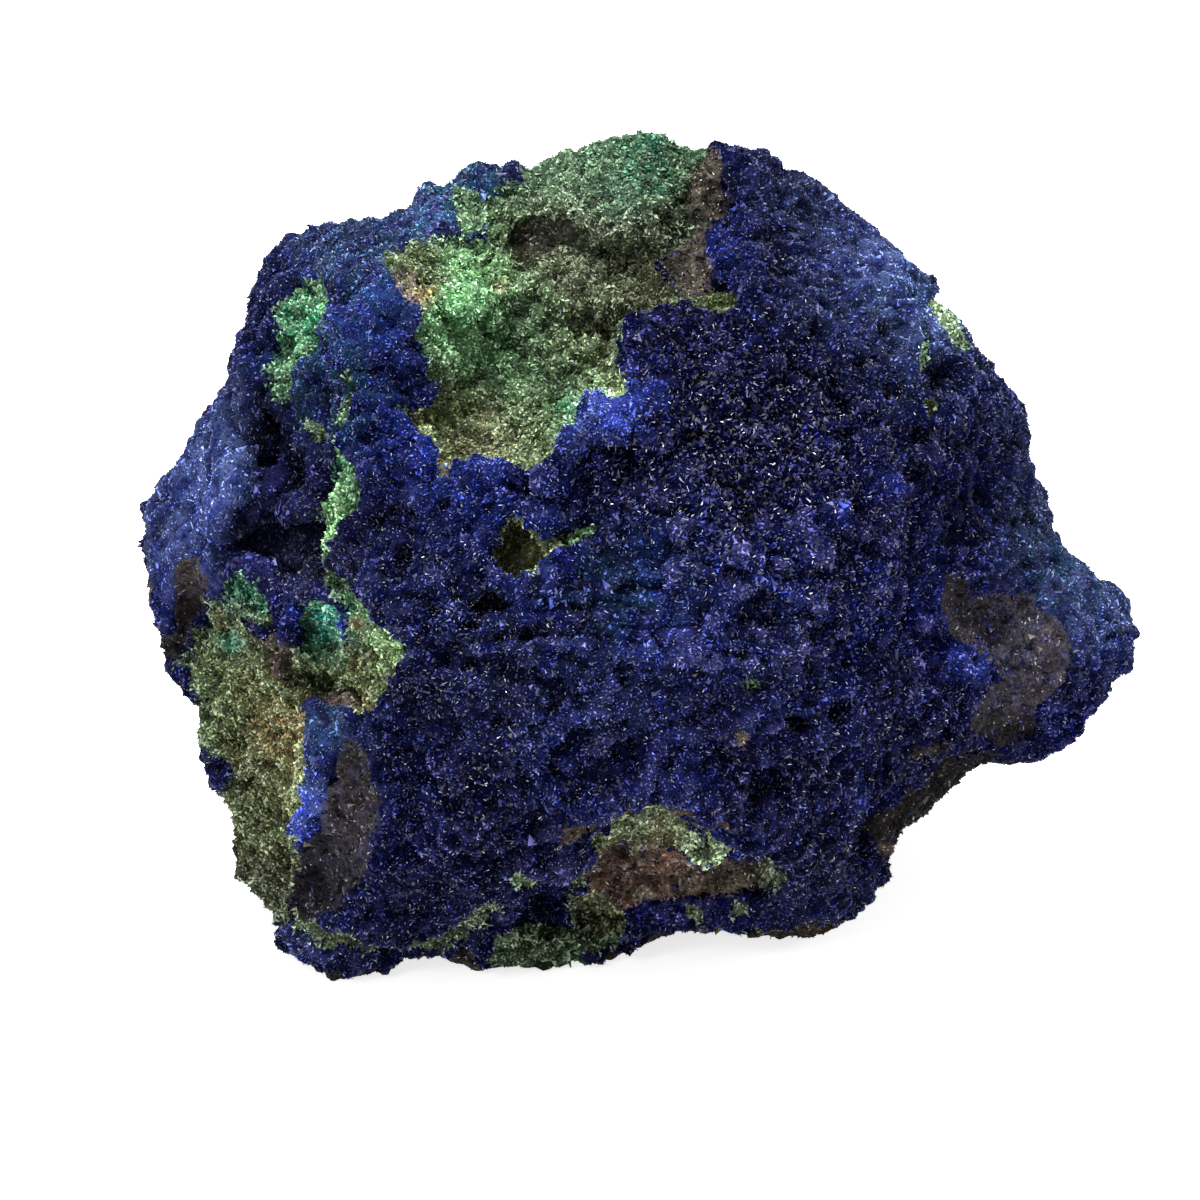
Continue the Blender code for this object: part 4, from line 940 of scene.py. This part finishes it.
def growth_tree(name, material, *crystals):
    """Sets crystals on a skin: thick where its 'growth' is 1, and as large as its 'size'."""
    tree = bpy.data.node_groups.new(name, "GeometryNodeTree")
    for label, kind in (("Skin", "Geometry"), ("Spacing", "Float"), ("Most per area", "Float"),
                        ("Least length", "Float"), ("Most length", "Float"), ("Slant", "Float"),
                        ("Seed", "Int")):
        tree.interface.new_socket(label, in_out="INPUT", socket_type="NodeSocket" + kind)
    tree.interface.new_socket("Crystals", in_out="OUTPUT", socket_type="NodeSocketGeometry")
    wanted = tree.nodes.new("NodeGroupInput").outputs
    end = tree.nodes.new("NodeGroupOutput")

    def attribute(label):
        return add(tree, "GeometryNodeInputNamedAttribute", {"Name": label}).outputs["Attribute"]

    def chance(low, high, shift, kind="FLOAT"):
        first = {"FLOAT": 2, "INT": 4}[kind]
        node = add(tree, "FunctionNodeRandomValue", {
            first: low, first + 1: high, "Seed": figure(tree, "ADD", wanted["Seed"], shift)},
            data_type=kind)
        return node.outputs[first // 2]

    spots = add(tree, "GeometryNodeDistributePointsOnFaces", {
        "Mesh": wanted["Skin"], "Distance Min": wanted["Spacing"],
        "Density Max": wanted["Most per area"], "Density Factor": attribute("growth"),
        "Seed": wanted["Seed"]}, distribute_method="POISSON")
    slant = wanted["Slant"]
    other_slant = figure(tree, "MULTIPLY", slant, -1.0)
    turn = add(tree, "ShaderNodeCombineXYZ", {
        0: chance(other_slant, slant, 1), 1: chance(other_slant, slant, 2),
        2: chance(0.0, math.tau, 3)})
    leaning = add(tree, "FunctionNodeRotateRotation", {
        "Rotation": spots.outputs["Rotation"],
        "Rotate By": add(tree, "FunctionNodeEulerToRotation", {0: turn.outputs[0]}).outputs[0]},
        rotation_space="LOCAL")
    length = chance(wanted["Least length"], wanted["Most length"], 4)
    drawer = bpy.data.collections.new(name + " shapes")
    for crystal in crystals:
        drawer.objects.link(crystal)
    choice = add(tree, "GeometryNodeCollectionInfo", {
        "Collection": drawer, "Separate Children": True, "Reset Children": True})
    grown = add(tree, "GeometryNodeInstanceOnPoints", {
        "Points": spots.outputs["Points"], "Instance": choice.outputs[0], "Pick Instance": True,
        "Instance Index": chance(0, len(crystals) - 1, 5, "INT"), "Rotation": leaning.outputs[0],
        "Scale": figure(tree, "MULTIPLY", length, attribute("size"))})
    named = add(tree, "GeometryNodeStoreNamedAttribute", {
        "Geometry": grown.outputs[0], "Name": "chance", "Value": chance(0.0, 1.0, 6)},
        data_type="FLOAT", domain="INSTANCE")
    whole = add(tree, "GeometryNodeRealizeInstances", {0: named.outputs[0]})
    painted = add(tree, "GeometryNodeSetMaterial", {0: whole.outputs[0], "Material": material})
    tree.links.new(painted.outputs[0], end.inputs[0])
    return tree


def grown_piece(name, tree, growth, size, spacing, most, lengths, slant, seed):
    """One plain mesh of crystals grown on the skin, at most this many to a square millimetre."""
    ground = skin.copy()
    keep(ground, "growth", growth)
    keep(ground, "size", size)
    carrier = set_out(name + " ground", ground)
    modifier = carrier.modifiers.new("growth", "NODES")
    modifier.node_group = tree
    sockets = {item.name: item.identifier for item in tree.interface.items_tree}
    for label, value in {
            "Spacing": spacing * MM, "Most per area": most * 1e6, "Least length": lengths[0] * MM,
            "Most length": lengths[1] * MM, "Slant": math.radians(slant), "Seed": seed}.items():
        modifier[sockets[label]] = value
    mesh = plain_mesh(carrier)
    move_to(mesh, read(mesh))
    for spare in (*borders, "growth", "size"):
        mesh.attributes.remove(mesh.attributes[spare])
    mesh.name = name
    piece = set_out(name, mesh)
    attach(piece, "root")


def crystal_material(name, tone_name, finish, highlight_tone, light, rarity, highlight_rarity, root, sheen=0.0,
                     glossy=False):
    """A crystal takes the tone of the spot where it grew, darkened at its root by painted shade, by
    chance lighter, and by chance takes a painted sheen and a pale painted highlight.
    """
    material, tree, shader = new_material(name, finish)
    chance = reading(tree, "chance")
    other_chance = figure(tree, "FRACT", figure(tree, "MULTIPLY", chance, 47.3))
    lightness = figure(tree, "MULTIPLY_ADD", figure(tree, "POWER", other_chance, rarity),
                       light[1] - light[0], light[0])
    # Painted shade: darker towards the root, where the crystals crowd.
    root_shade = figure(tree, "MULTIPLY_ADD", reading(tree, "tip"), 1 - root, root)
    lightness = figure(tree, "MULTIPLY", lightness, root_shade)
    colour = times(tree, reading(tree, tone_name, "Color"), lightness)
    if sheen:
        share = figure(tree, "MULTIPLY", figure(tree, "POWER", other_chance, 5.0), sheen)
        colour = layered(tree, colour, tone(*SHEEN_TONE) + [1], share)
    # Painted highlight: a pale colour laid by chance on crystals that may take one, as far as the
    # fourth part of the spot's colour allows.
    painted_highlight = figure(tree, "MULTIPLY", figure(tree, "POWER", chance, highlight_rarity),
                      reading(tree, "highlight_share"))
    painted_highlight = figure(tree, "MULTIPLY", painted_highlight, reading(tree, tone_name, "Alpha"))
    colour = layered(tree, colour, tone(*highlight_tone) + [1], painted_highlight)
    tree.links.new(colour, shader.inputs["Base Color"])
    if glossy:
        rough = add(tree, "ShaderNodeMapRange", {"Value": painted_highlight, "To Min": 0.45, "To Max": 0.2})
        coat = figure(tree, "GREATER_THAN", painted_highlight, GLOSSY_FROM)
        tree.links.new(rough.outputs[0], shader.inputs["Roughness"])
        tree.links.new(coat, shader.inputs["Coat Weight"])
    return material


azurite_crystal = crystal_material(
    "azurite crystal", "azure", {"Coat Roughness": 0.15, "Specular IOR Level": 0.015},
    highlight_tone=(236, 236, 246), light=(0.5, 4.5), rarity=4.8, highlight_rarity=4.2, root=0.12, sheen=0.18,
    glossy=True)
druse = growth_tree(
    "azurite druse", azurite_crystal,
    chip("chip_a", (0.6, 0.5, 0.5), (0.1, 0.1, 0.4), 0.08),
    chip("chip_b", (0.8, 0.35, 0.4), (-0.1, 0.0, 0.35), 0.12),
    chip("chip_c", (0.4, 0.5, 0.4), (0.25, 0.0, 0.6), 0.16),
    splinter("sliver_a", 0.26, 0.22, 0.1, 0.45, highlight_share=1.0),
    splinter("sliver_b", 0.22, 0.18, -0.2, 0.54, highlight_share=1.0))

# Where crust grows: not on malachite or bare matrix, apart from stray crystals near the border.
near_table = points[:, 2] < CLEAR_OF_TABLE * MM
stray = 0.7 * swell(0.8, 51.0)
crusted = smooth_step((-green + stray) / 0.5 + 0.3) * smooth_step((-black + stray) / 0.5 + 0.2)
crusted *= smooth_step((-brown + stray) / 0.5 + 0.2)
crusted = np.maximum(crusted, 0.05 * bare + 0.01 * in_green)
planed = np.clip(calm + plated, 0, 1) * crusted
crusted *= 1 - 0.6 * planed
on_lobe = patch(34, -4, 7, 8)
crusted = np.maximum(crusted, 0.8 * on_lobe * in_black * clouds(1.6, 0.4, 0.2, 59.0))
crusted[near_table] = 0.0
blade_size = 1.0 + 0.4 * patch(11, 10, 11, 10) + 0.3 * swell(3.0, 61.0) - 0.25 * calm
bearing = np.degrees(np.arctan2(points[:, 0], -points[:, 1]))
for seed, (name, (first, last)) in enumerate(SECTORS.items()):
    around = np.where(bearing < first, bearing + 360, bearing)
    here = (around >= first) & (around < last)
    grown_piece(name, druse, crusted * here, blade_size,
                spacing=0.225, most=55, lengths=(0.24, 0.5), slant=60, seed=10 + seed)

# ---------------------------------------------------------------------------------------------
# Larger azurite crystals. Low glossy facets, about a millimetre across, stand out of the druse
# where it grew best, and on its velvety knobs.
# ---------------------------------------------------------------------------------------------
# The facets' sheen and pale highlights are painted, and so is the shade at their roots.
azurite_facet = crystal_material(
    "azurite facet", "azure", {"Roughness": 0.35, "Specular IOR Level": 0.2},
    highlight_tone=(136, 138, 200), light=(0.4, 3.4), rarity=3.4, highlight_rarity=3.4, root=0.25, sheen=0.3)
facets = growth_tree(
    "azurite facets", azurite_facet,
    chip("facet_a", (0.55, 0.4, 0.5), (0.12, 0.05, 0.14), 0.3),
    chip("facet_b", (0.6, 0.3, 0.4), (-0.1, 0.05, 0.2), 0.15),
    chip("facet_c", (0.4, 0.5, 0.35), (0.15, -0.05, 0.26)))
best = tint(GLITTER) + 0.6 * behind * clouds(9.0, 0.3, 0.2, 63.0)
best = np.clip(0.12 + best + knobby, 0, 1) * crusted * (1 - calm)
grown_piece("azurite_facets", facets, best, 1.0 + 0.3 * swell(2.0, 65.0),
            spacing=0.8, most=2.5, lengths=(0.5, 1.2), slant=40, seed=70)

# ---------------------------------------------------------------------------------------------
# The flat flakes of azurite. On its calmer planes the crust broke into thin scales that lie
# nearly flat.
# ---------------------------------------------------------------------------------------------
scales = growth_tree(
    "azurite scales", azurite_facet,
    chip("scale_a", (0.7, 0.5, 0.6), (0.1, 0.05, 0.06), 0.1),
    chip("scale_b", (0.8, 0.35, 0.4), (-0.1, 0.05, 0.08)),
    chip("scale_c", (0.5, 0.6, 0.4), (0.15, -0.05, 0.1), 0.2))
grown_piece("azurite_scales", scales, planed, 1.0 + 0.3 * swell(2.0, 85.0),
            spacing=0.42, most=9, lengths=(0.4, 1.1), slant=20, seed=60)

# ---------------------------------------------------------------------------------------------
# The malachite. Crumbs and short rods, up to half a millimetre long, grew over the green parts
# like moss, with painted shade darkening them towards their roots, and painted highlights, a pale
# colour laid by chance on some.
# ---------------------------------------------------------------------------------------------
malachite_crumb = crystal_material(
    "malachite crumb", "leaf", {"Roughness": 0.6, "Specular IOR Level": 0.1},
    highlight_tone=(200, 218, 190), light=(0.38, 2.7), rarity=1.55, highlight_rarity=2.5, root=0.2)
moss = growth_tree(
    "malachite moss", malachite_crumb,
    splinter("rod", 0.5, 0.45, 0.1, 0.6, highlight_share=0.3),
    chip("crumb_a", (0.6, 0.5, 0.5), (0.1, 0.1, 0.5)),
    chip("crumb_b", (0.7, 0.4, 0.5), (-0.2, 0.0, 0.45), 0.5),
    chip("crumb_c", (0.5, 0.6, 0.4), (0.2, -0.1, 0.4), 0.2))
mossy = smooth_step((green + 0.6 * stray) / 0.4 + 0.5) * (1 - 0.8 * bare)
mossy[near_table] = 0.0
ahead = points[:, 1] < LUMP_SPLIT * MM
for seed, (name, here) in enumerate((("malachite_moss_front", ahead),
                                     ("malachite_moss_back", ~ahead))):
    grown_piece(name, moss, mossy * here, 1.0 + 0.4 * swell(2.0, 71.0),
                spacing=0.24, most=50, lengths=(0.26, 0.56), slant=70, seed=30 + seed)

# ---------------------------------------------------------------------------------------------
# Broken malachite. Low flat chips, about a millimetre across, stand out where the green is
# broken rather than mossy.
# ---------------------------------------------------------------------------------------------
CHIPS_CLEAR_OF_TABLE = 1.4
BROKEN_GREEN = [
    (4, -18.6, 5, 1), (9, -20.7, 2.5, 0.9), (0, -27, 4, 1), (-6, -30, 4, 0.5), (-19, -28, 7, 0.8),
    (-4, -23.6, 3, 1), (14, -23, 3, 1), (-20, -3, 4, 0.8), (-30, -5, 4, 0.6), (-29, -15, 8, 0.4),
    (-22.4, 8, 3, 0.6), (-14, 28, 4, 0.5), (1, 28, 6, 0.5), (-11, 14, 4, 0.3), (30, 23, 3, 0.6),
]
flakes = growth_tree(
    "malachite flakes", malachite_crumb,
    chip("flake_a", (0.55, 0.4, 0.5), (0.12, 0.05, 0.16), 0.4),
    chip("flake_b", (0.6, 0.3, 0.4), (-0.1, 0.05, 0.24), 0.2))
cracked = tint(BROKEN_GREEN) + 0.4 * behind * clouds(6.0, 0.4, 0.2, 73.0)
off_foot = points[:, 2] > CHIPS_CLEAR_OF_TABLE * MM
grown_piece("malachite_flakes", flakes, mossy * np.clip(cracked, 0, 1) * off_foot,
            1.0 + 0.3 * swell(2.0, 75.0),
            spacing=0.7, most=2.5, lengths=(0.5, 1.2), slant=45, seed=90)

# ---------------------------------------------------------------------------------------------
# The bare matrix. Iron-stained grit, with flat slabs about a millimetre across, lies on the
# brown and black breaks, where the crust came away.
# ---------------------------------------------------------------------------------------------
# The grit's pale specks are painted highlights, and the shade at its roots is painted.
matrix_grit = crystal_material(
    "matrix grit", "grit", {"Roughness": 0.5, "Specular IOR Level": 0.1},
    highlight_tone=(190, 186, 182), light=(0.2, 3.4), rarity=2.4, highlight_rarity=3.0, root=0.12)
grains = growth_tree(
    "matrix grit", matrix_grit,
    chip("grain_a", (0.6, 0.5, 0.5), (0.1, 0.1, 0.5)),
    chip("grain_b", (0.8, 0.4, 0.5), (0.2, 0.0, 0.4)),
    splinter("speck", 0.4, 0.4, 0.1, 0.5, highlight_share=1.0))
slabs = growth_tree(
    "matrix slabs", matrix_grit,
    chip("slab_a", (0.6, 0.35, 0.45), (0.12, 0.05, 0.2), 0.2),
    chip("slab_b", (0.7, 0.3, 0.3), (-0.1, 0.05, 0.26)))
gritty = bare * (0.6 + 0.4 * in_brown) * smooth_step((broad_normals[:, 2] + 0.95) / 0.3)
gritty[near_table] = 0.0
grown_piece("matrix_grit", grains, gritty, 1.0 + 0.4 * swell(2.0, 81.0),
            spacing=0.3, most=30, lengths=(0.2, 0.42), slant=85, seed=50)
grown_piece("matrix_slabs", slabs, (in_brown + 0.7 * in_black) * off_foot,
            1.0 + 0.3 * swell(2.0, 83.0),
            spacing=0.8, most=1.5, lengths=(0.5, 1.3), slant=45, seed=95)
for crystal in seed_crystals:
    bpy.data.objects.remove(crystal)
